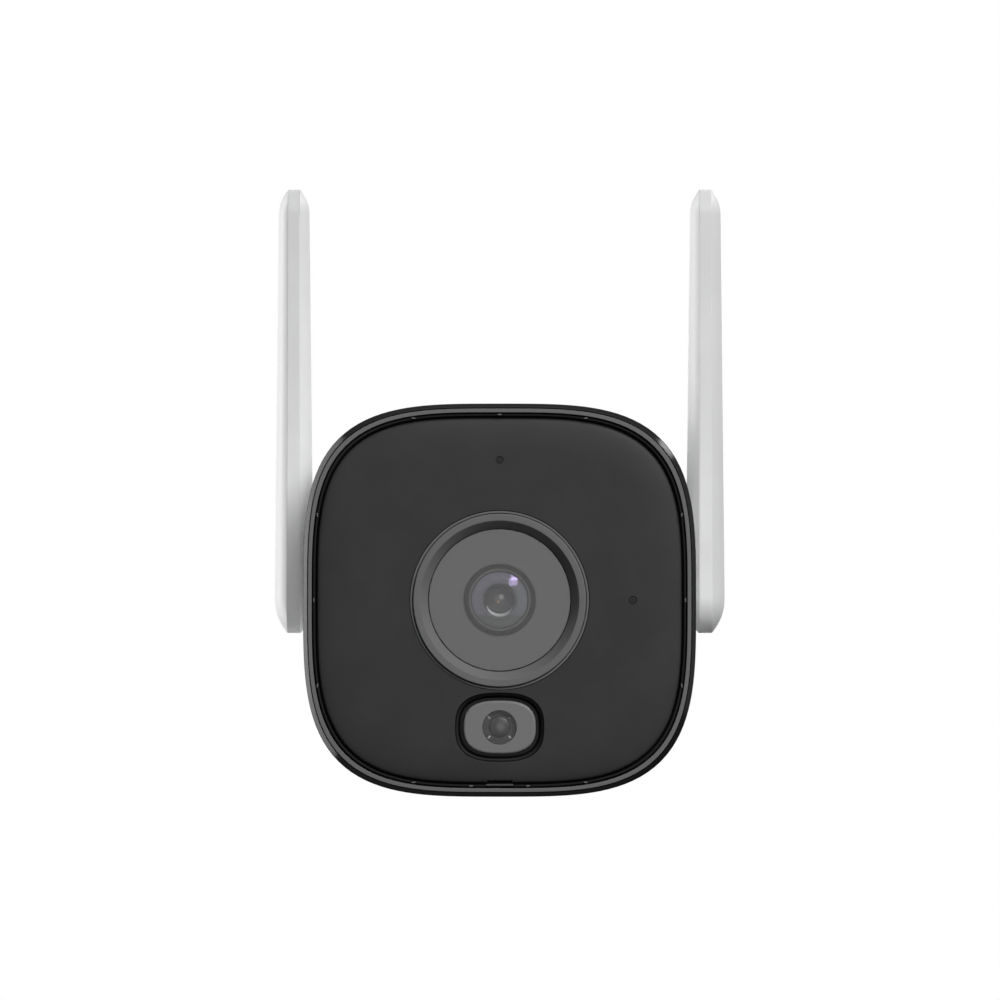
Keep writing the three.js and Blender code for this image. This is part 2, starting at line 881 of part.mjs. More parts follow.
const mainBoardBack = mainBoardFront + boardThickness;
add(body, 'inner_frame', makeFrame(), blackPlastic);
add(body, 'main_board', makeMainBoard(), circuitBoard);
add(body, 'processor', plate(processorSize, processorSize, mainBoardBack, mainBoardBack + processorThickness),
  chipPlastic);
add(body, 'heat_sink', makeHeatSink(), aluminium);
[1, -1].forEach((side, index) => {
  const screw = makeScrew(boardHeadRadius, boardHeadHeight, screwShank, boardScrewLength - overrun, 0);
  screw.rotateZ(Math.PI).translate(side * longPostX, mainBoardBack, side * longPostZ);
  add(body, `main_board_screw_${index + 1}`, screw, steel);
});
corners(frontScrewPlace, frontScrewPlace, (x, z) => [x, z]).forEach(([x, z], index) => {
  const seat = trayDepth + frontHeadSink;
  const screw = makeScrew(frontHeadRadius, frontHeadHeight, screwShank, frontScrewLength, seat);
  add(body, `front_screw_${index + 1}`, screw.translate(x, 0, z), steel);
});
corners(rearScrewPlace, rearScrewPlace, (x, z) => [x, z]).forEach(([x, z], index) => {
  const screw = makeScrew(rearHeadRadius, rearHeadHeight, screwShank, rearScrewLength, 0);
  add(body, `rear_screw_${index + 1}`, screw.rotateZ(Math.PI).translate(x, rearHeadSeat, z), steel);
});

// Housing with its posts, card bay, speaker pocket and antenna bearings

// Screw post with a web that runs out into the wall
function makePost(x, z, front, back) {
  const web = block(0, faceHalf, front, back, -webThickness / 2, webThickness / 2);
  web.rotateY(-Math.atan2(z, x));
  web.translate(x, 0, z);
  return join(rod(housingPostRadius, front, back, x, z), web);
}

function makeHousing() {
  const frontHalf = faceHalf - housingInset;
  const outside = loft([
    faceRing(frontHalf - housingChamfer, housingFront),
    faceRing(frontHalf, housingFront + housingChamfer),
    faceRing(housingBackHalf, housingBack),
  ]);
  const inside = loft([
    faceRing(frontHalf - housingWall, housingFront - overrun),
    faceRing(frontHalf - housingWall, housingFront),
    faceRing(housingBackHalf - housingWall, housingBack),
    faceRing(housingBackHalf - housingWall, housingBack + overrun),
  ]);
  const core = loft([
    faceRing(frontHalf - housingWall / 2, housingFront),
    faceRing(housingBackHalf - housingWall / 2, housingBack),
  ]);
  const extras = [
    ...corners(frontScrewPlace, frontScrewPlace, (x, z) => makePost(x, z, frameBack, frontPostEnd)),
    ...corners(rearScrewPlace, rearScrewPlace, (x, z) => makePost(x, z, rearPostFront, rearPostBack)),
    block(-bayPadWidth / 2, bayPadWidth / 2, bayPlace - bayPadLength / 2, bayPlace + bayPadLength / 2,
      -faceHalf, bayPadTop),
    rodAlongZ(speakerRadius + runGap + speakerPadWall, -faceHalf, speakerPadTop, 0, speakerPlace, midSteps),
    ...[1, -1].map((side) => rodAlongX(antennaPadRadius, antennaPadFace, faceHalf, smallSteps)
      .scale(side, 1, 1).translate(0, antennaPlace, 0)),
  ];
  return cut(
    join(cut(outside, inside), ...extras.map((piece) => shared(piece, core))),
    ...corners(frontScrewPlace, frontScrewPlace, (x, z) =>
      rod(screwHole, frameBack - overrun, frontPostEnd + overrun, x, z)),
    ...corners(rearScrewPlace, rearScrewPlace, (x, z) =>
      rod(screwHole, rearPostFront - overrun, rearPostBack + overrun, x, z)),
    ...makeBayCuts(),
    ...makeSpeakerCuts(),
    rodAlongX(antennaHole, -faceHalf - overrun, faceHalf + overrun).translate(0, antennaPlace, 0));
}

function makeBayCuts() {
  const bayFloor = -faceHalf - overrun;
  const halfWidth = cardCoverWidth / 2 + runGap;
  const halfLength = cardCoverLength / 2 + runGap;
  return [
    block(-halfWidth, halfWidth, bayPlace - halfLength, bayPlace + halfLength, bayFloor, baySealFace),
    block(-bayOpeningWidth / 2, bayOpeningWidth / 2, bayPlace - bayOpeningLength / 2,
      bayPlace + bayOpeningLength / 2, bayFloor, bayPadTop + overrun),
    ...[1, -1].map((side) =>
      rodAlongZ(cardScrewHole, baySealFace - overrun, bayPadTop + overrun, side * cardScrewPlace, bayPlace)),
  ];
}

function makeSpeakerCuts() {
  const slots = [];
  for (let i = 0; i < grilleCount; i++) {
    const middle = speakerPlace + grillePitch * (i - (grilleCount - 1) / 2);
    slots.push(block(-grilleLength / 2, grilleLength / 2, middle - grilleSlot / 2, middle + grilleSlot / 2,
      -faceHalf - overrun, speakerFace + overrun));
  }
  return [
    rodAlongZ(speakerRadius + runGap, speakerFace, speakerPadTop + overrun, 0, speakerPlace, midSteps),
    ...slots,
  ];
}

add(body, 'main_housing', makeHousing(), whitePlastic);

function makeFaceSeal(outerHalf, width, front, back) {
  const hole = loft([
    faceRing(outerHalf - width, front - overrun),
    faceRing(outerHalf - width, back + overrun),
  ]);
  return cut(loft([faceRing(outerHalf, front), faceRing(outerHalf, back)]), hole);
}

const frontSealHalf = faceHalf - frontSealInset;
const rearSealHalf = housingBackHalf - (housingWall - rearSealWidth) / 2;
add(body, 'front_seal', makeFaceSeal(frontSealHalf, frontSealWidth, bezelDepth, housingFront), rubber);
add(body, 'rear_seal', makeFaceSeal(rearSealHalf, rearSealWidth, housingBack, capFront), rubber);

// Card bay

function makeCardCover() {
  const half = housingHalfAt(bayPlace);
  const outside = loft([
    faceRing(housingHalfAt(bayPlace - cardCoverLength), bayPlace - cardCoverLength),
    faceRing(housingHalfAt(bayPlace + cardCoverLength), bayPlace + cardCoverLength),
  ]);
  const lid = block(-cardCoverWidth / 2, cardCoverWidth / 2, bayPlace - cardCoverLength / 2,
    bayPlace + cardCoverLength / 2, -half - overrun, cardCoverTop);
  const holes = [1, -1].map((side) => join(
    rodAlongZ(cardScrewHole, -half - overrun, cardCoverTop + overrun, side * cardScrewPlace, bayPlace),
    rodAlongZ(cardScrewHead + runGap, -half - overrun, cardScrewSeat, side * cardScrewPlace, bayPlace)));
  return cut(shared(outside, lid), ...holes);
}

function makeCardSeal() {
  const halfWidth = bayOpeningWidth / 2 + cardSealMargin;
  const halfLength = bayOpeningLength / 2 + cardSealMargin;
  const outerWidth = halfWidth + cardSealWidth;
  const outerLength = halfLength + cardSealWidth;
  return cut(
    block(-outerWidth, outerWidth, bayPlace - outerLength, bayPlace + outerLength, cardCoverTop,
      baySealFace),
    block(-halfWidth, halfWidth, bayPlace - halfLength, bayPlace + halfLength, cardCoverTop - overrun,
      baySealFace + overrun));
}

function makeCardBoard() {
  const boardTop = bayPadTop + cardBoardThickness;
  const sheet = block(-cardBoardLength / 2, cardBoardLength / 2, bayPlace - cardBoardDepth / 2,
    bayPlace + cardBoardDepth / 2, bayPadTop, boardTop);
  const socket = block(cardSocketPlace - cardSocketWidth / 2, cardSocketPlace + cardSocketWidth / 2,
    bayPlace - cardSocketLength / 2, bayPlace + cardSocketLength / 2, bayPadTop - cardSocketHeight,
    bayPadTop + cardBoardThickness / 2);
  const button = rodAlongZ(buttonCase, bayPadTop - buttonCaseHeight, bayPadTop + cardBoardThickness / 2,
    buttonPlace, bayPlace);
  const bore = rodAlongZ(buttonRadius + runGap, bayPadTop - buttonCaseHeight - overrun, bayPadTop,
    buttonPlace, bayPlace);
  return cut(join(sheet, socket, button), bore);
}

// Screw driven upwards, towards +Z
function makeCardScrew(side) {
  const screw = makeScrew(cardScrewHead, cardScrewHeadHeight, cardScrewShank, cardScrewLength, 0);
  return screw.rotateX(Math.PI / 2).translate(side * cardScrewPlace, bayPlace, cardScrewSeat);
}

const cardCoverTop = baySealFace - baySealThickness;
const cardScrewSeat = cardCoverTop - cardScrewHeadHeight;
const buttonTop = bayPadTop - buttonTravel - buttonSpare;
add(body, 'card_cover', makeCardCover(), whitePlastic);
add(body, 'card_cover_seal', makeCardSeal(), rubber);
[1, -1].forEach((side, index) => add(body, `card_cover_screw_${index + 1}`, makeCardScrew(side), steel));
add(body, 'card_board', makeCardBoard(), circuitBoard);
add(body, 'reset_button',
  rodAlongZ(buttonRadius, buttonTop - buttonLength, buttonTop, buttonPlace, bayPlace), blackPlastic);

function makeSpeaker() {
  const top = speakerFace + speakerHeight;
  return turned([
    [0, speakerFace],
    [speakerRadius, speakerFace],
    [speakerRadius, speakerFace + speakerFlange],
    [speakerMagnet, top - speakerMagnetHeight],
    [speakerMagnet, top],
    [0, top],
  ], midSteps).rotateX(Math.PI / 2).translate(0, speakerPlace, 0);
}

add(body, 'speaker', makeSpeaker(), blackPlastic);

// Rear cap and cable gland

function makeRearCap() {
  const domeStart = capFront + capStraight;
  const insideHalf = housingBackHalf - capWall;
  const spigotHalf = housingBackHalf - spigotInset;
  const outside = loft([
    faceRing(housingBackHalf, capFront),
    ...domeRings(housingBackHalf, capBack, capDomeInset, capBack - domeStart),
  ]);
  const inside = loft([
    faceRing(spigotHalf - spigotWall, capFront - overrun),
    faceRing(spigotHalf - spigotWall, capFront),
    ...domeRings(insideHalf, capInnerBack, capDomeInset, capInnerBack - domeStart),
  ]);
  const spigot = cut(
    loft([faceRing(spigotHalf, capFront - spigotLength), faceRing(spigotHalf, capFront)]),
    loft([
      faceRing(spigotHalf - spigotWall, capFront - spigotLength - overrun),
      faceRing(spigotHalf - spigotWall, capFront + overrun),
    ]));
  const midWall = capBack - capWall / 2;
  const posts = corners(rearScrewPlace, rearScrewPlace, (x, z) =>
    rod(capPostRadius, capFront - spigotLength, midWall, x, z));
  const hub = rod(hubOuter, midWall, cupMouth, 0, 0, roundSteps);
  return cut(
    join(cut(outside, inside), spigot, hub, ...posts),
    rod(cupRadius, cupMouth - cupDepth, cupMouth + overrun, 0, 0, roundSteps),
    rod(glandBody + runGap, capInnerBack - overrun, capBack + overrun, 0, glandHeight, midSteps),
    ...corners(rearScrewPlace, rearScrewPlace, (x, z) => join(
      rod(screwHole, capFront - spigotLength - overrun, capBack, x, z),
      rod(rearHeadRadius + headFit, rearHeadSeat, capBack + overrun, x, z))));
}

function makeGland() {
  return turned([
    [glandBore, capInnerBack - glandNutThickness],
    [glandNut, capInnerBack - glandNutThickness],
    [glandNut, capInnerBack],
    [glandBody, capInnerBack],
    [glandBody, capBack],
    [glandFlange, capBack],
    [glandFlange, capBack + glandFlangeThickness],
    [glandBore, capBack + glandFlangeThickness],
    [glandBore, capInnerBack - glandNutThickness],
  ], midSteps);
}

const cupMouth = capBack + tiltToCap - linkCupFloor + cupDepth;
add(body, 'rear_cap', makeRearCap(), whitePlastic);
add(body, 'cable_gland', makeGland().translate(0, 0, glandHeight), blackPlastic);

// Swivels: a flange held in a cup by a ring that turns on the cup's collar.
// Each is made about the cup's floor at y 0, with the cup opening towards -Y.

function makeSwivelRing() {
  const lipFace = -cupDepth - runGap;
  const back = ringSkirt - cupDepth;
  const outside = loft([
    lobedRing(ringOuter - ringDip, lipFace - ringLip),
    lobedRing(ringOuter, lipFace - ringLip + ringDip),
    lobedRing(ringOuter, back),
  ]);
  return cut(
    outside,
    rod(ringBore, lipFace - ringLip - overrun, back + overrun, 0, 0, roundSteps),
    rod(ringInner, lipFace, back + overrun, 0, 0, roundSteps));
}

function makeSwivelFlange() {
  return rod(swivelFlange, -cupDepth, -runGap, 0, 0, roundSteps);
}

function makeWallPlate() {
  const dome = turned([
    [0, 0],
    [plateRadius, 0],
    [plateRadius, -plateEdge + plateRound],
    [plateRadius - plateRound, -plateEdge],
    [plateShoulder, -plateCrown],
    [hubOuter, -plateCrown],
    [hubOuter, -cupFloor - cupDepth],
    [cupRadius, -cupFloor - cupDepth],
    [cupRadius, -cupFloor],
    [0, -cupFloor],
  ]);
  const recess = ring(recessInner, recessOuter, -recessDepth, overrun);
  const supports = [];
  const holes = [];
  for (let i = 0; i < plateScrewCount; i++) {
    const angle = Math.PI / 2 + (i / plateScrewCount) * Math.PI * 2;
    const x = Math.cos(angle) * plateScrewCircle;
    const z = Math.sin(angle) * plateScrewCircle;
    const rib = block(0, recessOuter, -recessDepth, 0, -plateRib / 2, plateRib / 2);
    supports.push(
      rod(platePillar + plateRib, -recessDepth - overrun, 0, x, z, smallSteps),
      rib.rotateY(-angle - Math.PI / plateScrewCount));
    holes.push(
      rod(plateScrewHole, -plateCrown - overrun, overrun, x, z),
      rod(plateScrewHead, -plateCrown - overrun, -plateScrewSeat, x, z, midSteps));
  }
  return cut(join(cut(dome, recess), ...supports.map((piece) => shared(piece, dome))), ...holes);
}

// Outline in the YZ plane pushed along X, centred on the pivot
function alongX(shape, halfWidth) {
  const geometry = new THREE.ExtrudeGeometry(shape, {
    depth: halfWidth * 2,
    bevelEnabled: false,
    curveSegments: smallSteps,
  });
  geometry.translate(0, 0, -halfWidth);
  return geometry.applyMatrix4(new THREE.Matrix4().makeBasis(
    new THREE.Vector3(0, 1, 0), new THREE.Vector3(0, 0, 1), new THREE.Vector3(1, 0, 0)));
}

// Half disc about the pivot with straight sides running along the y direction given
function tongueShape(radius, reach) {
  const side = Math.sign(reach);
  const shape = new THREE.Shape();
  shape.moveTo(reach, -radius);
  shape.lineTo(0, -radius);
  shape.absarc(0, 0, radius, -Math.PI / 2, Math.PI / 2, side > 0);
  shape.lineTo(reach, radius);
  return shape;
}

// Room for the tongue and the neck from straight ahead to straight down
function slotShape(reach) {
  const shape = new THREE.Shape();
  shape.moveTo(-reach, slotRadius);
  shape.lineTo(0, slotRadius);
  shape.absarc(0, 0, slotRadius, Math.PI / 2, 0, true);
  shape.lineTo(slotRadius, -reach);
  shape.lineTo(-reach, -reach);
  return shape;
}

function makePanArm() {
  const flangeTop = wallToTilt - cupFloor - cupDepth;
  const neckEnd = flangeTop - ringLip - armNeckLength;
  const blank = loft([
    oval(forkHalfWidth, forkRadius, -forkRadius - overrun, forkSquareness, roundSteps),
    oval(forkHalfWidth, forkRadius, forkStart, forkSquareness, roundSteps),
    oval(swivelNeck, swivelNeck, neckEnd, circleSquareness, roundSteps),
    oval(swivelNeck, swivelNeck, flangeTop + overrun, circleSquareness, roundSteps),
  ]);
  const arm = join(
    shared(blank, alongX(tongueShape(forkRadius, wallToTilt), forkHalfWidth + overrun)),
    makeSwivelFlange().translate(0, wallToTilt - cupFloor, 0));
  const headSeat = forkHalfWidth - boltHeadHeight;
  const nutSeat = forkHalfWidth - nutHeight;
  return cut(
    arm,
    alongX(slotShape(forkRadius + overrun), slotHalfWidth),
    rodAlongX(boltHole, -forkHalfWidth - overrun, forkHalfWidth + overrun),
    rodAlongX(boltHeadRadius + boltSeatFit, headSeat, forkHalfWidth + overrun),
    rodAlongX(boltHeadRadius + boltSeatFit, -forkHalfWidth - overrun, -nutSeat, hexSides));
}

function makeTiltBolt() {
  const headSeat = forkHalfWidth - boltHeadHeight;
  const bolt = join(
    rodAlongX(boltHeadRadius, headSeat, forkHalfWidth),
    rodAlongX(boltShank, -forkHalfWidth, headSeat + boltHexDepth / 2));
  return cut(bolt, rodAlongX(boltHexRadius, forkHalfWidth - boltHexDepth, forkHalfWidth + overrun, hexSides));
}

function makeTiltNut() {
  return cut(
    rodAlongX(boltHeadRadius, -forkHalfWidth, nutHeight - forkHalfWidth, hexSides),
    rodAlongX(boltHole, -forkHalfWidth - overrun, nutHeight - forkHalfWidth + overrun));
}

function makeTiltLink() {
  const flangeFront = -linkCupFloor + cupDepth;
  const tongue = alongX(tongueShape(tongueRadius, -linkNeckStart - tongueSink), tongueHalfWidth);
  const neck = loft([
    oval(swivelNeck, swivelNeck, flangeFront - overrun, circleSquareness, roundSteps),
    oval(swivelNeck, swivelNeck, -linkNeckStart, circleSquareness, roundSteps),
  ]);
  const flange = makeSwivelFlange().rotateZ(Math.PI).translate(0, -linkCupFloor, 0);
  return cut(join(tongue, neck, flange),
    rodAlongX(boltHole, -tongueHalfWidth - overrun, tongueHalfWidth + overrun));
}

add(camera, 'wall_plate', makeWallPlate(), whitePlastic);
add(camera, 'pan_ring', makeSwivelRing().translate(0, -cupFloor, 0), whitePlastic);
add(pivot, 'pan_arm', makePanArm(), whitePlastic);
add(pivot, 'tilt_bolt', makeTiltBolt(), steel);
add(pivot, 'tilt_nut', makeTiltNut(), steel);
add(pivot, 'tilt_link', makeTiltLink(), whitePlastic);
add(pivot, 'roll_ring', makeSwivelRing().rotateZ(Math.PI).translate(0, -linkCupFloor, 0), whitePlastic);

// Antennas: a faceted paddle whose edge band faces the front

function antennaThicknessAt(z) {
  return THREE.MathUtils.lerp(antennaBaseThickness, antennaTipThickness, z / antennaHeight);
}

// Ring of points round the paddle, drawn in by a share of its radius
function paddleRing(share, side, wall) {
  const points = [];
  const tipCentre = antennaHeight - antennaTipRadius;
  const ends = [
    { radius: antennaTipRadius - wall, centre: tipCentre, start: 0 },
    { radius: antennaBaseRadius - wall, centre: 0, start: Math.PI },
  ];
  for (const end of ends) {
    for (let i = 0; i <= antennaArcSteps; i++) {
      const angle = end.start + (i / antennaArcSteps) * Math.PI;
      const z = end.centre + Math.sin(angle) * end.radius * (1 - share);
      const thickness = antennaThicknessAt(z) - 2 * wall;
      const band = THREE.MathUtils.lerp(antennaBaseBand, antennaTipBand, z / antennaHeight);
      const crown = Math.max(thickness - band, 0) * (1 - (1 - share) ** antennaCrownPower);
      const x = side * (band + crown) / 2;
      points.push(new THREE.Vector3(x, Math.cos(angle) * end.radius * (1 - share), z));
    }
  }
  return points;
}

function makePaddle(wall) {
  const inner = antennaRingShares.map((share) => paddleRing(share, -1, wall)).reverse();
  const outer = antennaRingShares.map((share) => paddleRing(share, 1, wall));
  return loft([...inner, ...outer]);
}

function makeAntennaPieces() {
  const reach = antennaBaseRadius + overrun;
  const face = -antennaBaseThickness / 2;
  const paddle = makePaddle(0);
  const hollow = shared(makePaddle(antennaWall),
    block(-reach, reach, -reach, reach, antennaWell, antennaHeight));
  const innerSide = block(-reach, antennaSplit, -reach, reach, -reach, antennaHeight + overrun);
  const channel = block(antennaSplit - overrun, antennaSplit + channelReach, -channelHalfWidth,
    channelHalfWidth, 0, antennaWell + overrun);
  const posts = antennaPostShares.map((share) => {
    const z = THREE.MathUtils.lerp(antennaBoardBottom, antennaBoardTop, share);
    const midWall = (antennaWall - antennaThicknessAt(z)) / 2;
    return rodAlongX(antennaPostRadius, midWall, antennaSplit, smallSteps).translate(0, 0, z);
  });
  const shell = cut(paddle, hollow, innerSide, channel);
  const cover = cut(
    join(cut(shared(paddle, innerSide), hollow), rodAlongX(antennaHub, face, antennaSplit), ...posts),
    rodAlongX(spindleRadius + runGap, face - overrun, antennaSplit + overrun),
    rodAlongX(spindleFlange + runGap, spindleFlangeFace, antennaSplit + overrun));
  const snapFace = antennaPadFace - runGap - antennaAcross;
  const spindle = cut(
    turned([
      [0, snapFace - spindleSnapLength],
      [spindleRadius, snapFace - spindleSnapLength],
      [spindleSnap, snapFace],
      [spindleRadius, snapFace],
      [spindleRadius, spindleFlangeFace],
      [spindleFlange, spindleFlangeFace],
      [spindleFlange, spindleFlangeFace + spindleFlangeThickness],
      [0, spindleFlangeFace + spindleFlangeThickness],
    ], midSteps).rotateZ(-Math.PI / 2),
    rodAlongX(spindleBore, snapFace - spindleSnapLength - overrun, overrun, smallSteps));
  const board = block(antennaSplit, antennaSplit + antennaBoardThickness, -antennaBoardWidth / 2,
    antennaBoardWidth / 2, antennaBoardBottom, antennaBoardTop);
  return { shell, cover, spindle, board };
}

const antennaLooks = { shell: whitePlastic, cover: whitePlastic, spindle: blackPlastic, board: circuitBoard };
const antennaPieces = makeAntennaPieces();
for (const [sideName, side] of [['left', -1], ['right', 1]]) {
  const mast = new THREE.Group();
  mast.position.set(side * antennaAcross, antennaPlace, 0);
  body.add(mast);
  for (const [piece, geometry] of Object.entries(antennaPieces)) {
    add(mast, `${sideName}_antenna_${piece}`, geometry.clone().scale(side, 1, 1), antennaLooks[piece]);
  }
}

export default camera;
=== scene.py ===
import math

import bpy
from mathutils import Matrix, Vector


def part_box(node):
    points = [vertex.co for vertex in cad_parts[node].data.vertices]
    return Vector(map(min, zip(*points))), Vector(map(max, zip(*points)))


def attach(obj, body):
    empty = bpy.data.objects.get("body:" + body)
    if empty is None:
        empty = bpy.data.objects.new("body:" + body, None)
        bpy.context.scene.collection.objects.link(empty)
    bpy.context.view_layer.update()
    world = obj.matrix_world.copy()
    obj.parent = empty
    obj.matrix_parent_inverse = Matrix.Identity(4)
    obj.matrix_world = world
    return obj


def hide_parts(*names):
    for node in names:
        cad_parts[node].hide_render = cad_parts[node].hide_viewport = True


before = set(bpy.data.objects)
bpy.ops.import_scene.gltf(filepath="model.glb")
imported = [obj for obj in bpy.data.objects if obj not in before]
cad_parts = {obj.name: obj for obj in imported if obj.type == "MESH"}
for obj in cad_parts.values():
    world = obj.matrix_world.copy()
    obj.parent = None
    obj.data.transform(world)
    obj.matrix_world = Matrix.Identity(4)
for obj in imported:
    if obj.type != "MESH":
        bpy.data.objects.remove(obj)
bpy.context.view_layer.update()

mm = 0.001
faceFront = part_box("front_bezel")[0].y      # the rim's front face; depths run back from it
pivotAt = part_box("tilt_bolt")[0].lerp(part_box("tilt_bolt")[1], 0.5)
pivotDepth = (pivotAt.y - faceFront) / mm
wallDepth = -faceFront / mm
faceSquareness = 3.5
faceSteps = 160
outside = 45                                # past the housing's underside, where cutters start
weld = 1e-6                                 # points closer than this are one
print("frame loaded, face at", round(faceFront, 4))


# Modelling by hand, in code

class Values(dict):                         # a piece's values, read as s.name
    __getattr__ = dict.__getitem__


def leaveEdit():
    bpy.ops.object.mode_set(mode="OBJECT")


def clearSelection():
    if bpy.context.object and bpy.context.object.mode != "OBJECT":
        leaveEdit()
    bpy.ops.object.select_all(action="DESELECT")


def pick(piece):
    clearSelection()
    piece.select_set(True)
    bpy.context.view_layer.objects.active = piece


def edit(piece, action="SELECT", mode="VERT"):
    pick(piece)
    bpy.ops.object.mode_set(mode="EDIT")
    bpy.ops.mesh.select_mode(type=mode)
    bpy.ops.mesh.select_all(action=action)


def selectPoints(piece, test):              # leaves edit mode on with the points that pass the test
    edit(piece, "DESELECT")
    leaveEdit()
    for point in piece.data.vertices:
        point.select = bool(test(point))
    bpy.ops.object.mode_set(mode="EDIT")


def named(name):
    piece = bpy.context.object
    piece.name = name
    piece.data.name = name
    bpy.ops.object.transform_apply(location=True, rotation=True, scale=True)
    return piece


def squareRing(name, steps, squareness):    # upright ring of edges, 1 mm in half width, left in edit mode
    clearSelection()
    bpy.ops.mesh.primitive_plane_add(size=2 * mm, rotation=(math.pi / 2, 0, 0))
    piece = named(name)
    edit(piece)
    bpy.ops.mesh.bevel(offset=mm, affect="VERTICES", segments=steps // 4,
                       profile=0.25 ** (1 / squareness), clamp_overlap=False)
    bpy.ops.mesh.select_all(action="SELECT")
    bpy.ops.mesh.remove_doubles(threshold=weld)
    bpy.ops.mesh.delete(type="ONLY_FACE")
    bpy.ops.mesh.select_all(action="SELECT")
    return piece


def at(x, depth, z):
    return Vector((x * mm, faceFront + depth * mm, z * mm))


def fromWall(x, out, z):                    # a place by its distance out from the wall
    return Vector((x * mm, -out * mm, z * mm))


def fromPivot(x, back, z):                  # a place by its distance behind the tilt axis
    return Vector((x * mm, pivotAt.y + back * mm, pivotAt.z + z * mm))


# A ring pushed back step by step. The profile holds (reach, depth) or (half width, half height, depth)
def loft(name, profile, steps=96, squareness=2.0, centre=(0, 0), closed=False):
    rings = [(step[0], step[-2], step[-1]) for step in profile]
    piece = squareRing(name, steps, squareness)
    width, height, depth = rings[0]
    bpy.ops.transform.resize(value=(width, 1, height), center_override=(0, 0, 0))
    bpy.ops.transform.translate(value=at(centre[0], depth, centre[1]))
    for before, after in zip(rings, rings[1:]):
        bpy.ops.mesh.extrude_edges_move(
            TRANSFORM_OT_translate={"value": (0, (after[2] - before[2]) * mm, 0)})
        if after[:2] != before[:2]:
            bpy.ops.transform.resize(value=(after[0] / before[0], 1, after[1] / before[1]),
                                     center_override=at(centre[0], after[2], centre[1]))
    if not closed:                          # a closed profile ends where it began and needs no lids
        bpy.ops.mesh.select_all(action="SELECT")
        bpy.ops.mesh.fill_holes(sides=0)
    settle(piece)
    return piece


def settle(piece):                          # one closed skin with its faces outwards
    edit(piece)
    bpy.ops.mesh.remove_doubles(threshold=weld)
    bpy.ops.mesh.select_all(action="SELECT")
    bpy.ops.mesh.normals_make_consistent(inside=False)
    leaveEdit()


# Points of a quarter arc, leaving the first point along depth
def arc(fromReach, fromDepth, toReach, toDepth, steps=8):
    points = []
    for i in range(1, steps + 1):
        turn = i / steps * math.pi / 2
        points.append((fromReach + (toReach - fromReach) * (1 - math.cos(turn)),
                       fromDepth + (toDepth - fromDepth) * math.sin(turn)))
    return points


def tube(name, radius, start, end, steps=48, axis="Y"):      # plain rod from point to point
    middle, length = (start + end) / 2, (end - start).length
    turns = {"X": (0, math.pi / 2, 0), "Y": (math.pi / 2, 0, 0), "Z": (0, 0, 0)}
    clearSelection()
    bpy.ops.mesh.primitive_cylinder_add(vertices=steps, radius=radius * mm, depth=length, location=middle,
                                        rotation=turns[axis])
    return named(name)


def drill(radius, x, z, front, back, steps=24):              # cutter from front to back
    return tube("cut", radius, at(x, front, z), at(x, back, z), steps)


def bore(radius, x, depth, top, steps, name="cut", bottom=-outside):         # upright cutter
    return tube(name, radius, at(x, depth, bottom), at(x, depth, top), steps, "Z")


def crossRod(name, radius, start, end, steps=48):            # rod along the tilt axis
    return tube(name, radius, fromPivot(start, 0, 0), fromPivot(end, 0, 0), steps, "X")


def box(name, low, high, round=0, segments=4):
    clearSelection()
    bpy.ops.mesh.primitive_cube_add(size=1, location=(low + high) / 2, scale=high - low)
    piece = named(name)
    if round:
        softenEdges(piece, round, segments)
    return piece


def corners(reach):                         # the four screw places
    return [(x, z) for x in (-reach, reach) for z in (-reach, reach)]


def combine(piece, others, how="DIFFERENCE"):
    for other in others:
        pick(piece)
        bpy.ops.object.modifier_add(type="BOOLEAN")
        change = piece.modifiers[-1]
        change.operation, change.solver, change.object = how, "EXACT", other
        bpy.ops.object.modifier_apply(modifier=change.name)
        bpy.data.objects.remove(other)
    return piece


def gather(name, parts):                    # several loose parts as one piece
    clearSelection()
    for part in parts:
        part.select_set(True)
    bpy.context.view_layer.objects.active = parts[0]
    bpy.ops.object.join()
    parts[0].name = parts[0].data.name = name
    return parts[0]


def copyOf(piece, name, move=(0, 0, 0), mirror=None):
    pick(piece)
    bpy.ops.object.duplicate(linked=False)
    twin = named(name)
    edit(twin)
    if mirror:
        bpy.ops.transform.resize(value=mirror, center_override=(0, 0, 0))
        bpy.ops.mesh.flip_normals()
    bpy.ops.transform.translate(value=move)
    leaveEdit()
    return twin


def scatter(name, model, places):           # turned copies of a small form, as one piece
    parts = []
    for number, (x, z, turn) in enumerate(places):
        twin = copyOf(model, f"{name}{number}")
        edit(twin)
        bpy.ops.transform.rotate(value=turn, orient_axis="Y", center_override=at(0, 0, 0))
        bpy.ops.transform.translate(value=(x * mm, 0, z * mm))
        leaveEdit()
        parts.append(twin)
    bpy.data.objects.remove(model)
    return smooth(gather(name, parts))


def softenEdges(piece, width, segments=3, angle=32):
    pick(piece)
    bpy.ops.object.modifier_add(type="BEVEL")
    change = piece.modifiers[-1]
    change.width, change.segments, change.limit_method = width * mm, segments, "ANGLE"
    change.angle_limit = math.radians(angle)
    change.use_clamp_overlap = True
    bpy.ops.object.modifier_apply(modifier=change.name)
    return piece


def smooth(piece, angle=30):
    pick(piece)
    bpy.ops.object.shade_smooth_by_angle(angle=math.radians(angle))
    bpy.ops.object.modifier_add(type="WEIGHTED_NORMAL")
    piece.modifiers[-1].keep_sharp = True
    bpy.ops.object.modifier_apply(modifier=piece.modifiers[-1].name)
    return piece


def dress(piece, paint, slot, *stands, body="camera_body"):  # stands names the CAD nodes it stands for
    piece.data.materials.clear()
    piece.data.materials.append(paint.material)
    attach(piece, body)
    if stands:
        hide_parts(*stands)


# Materials

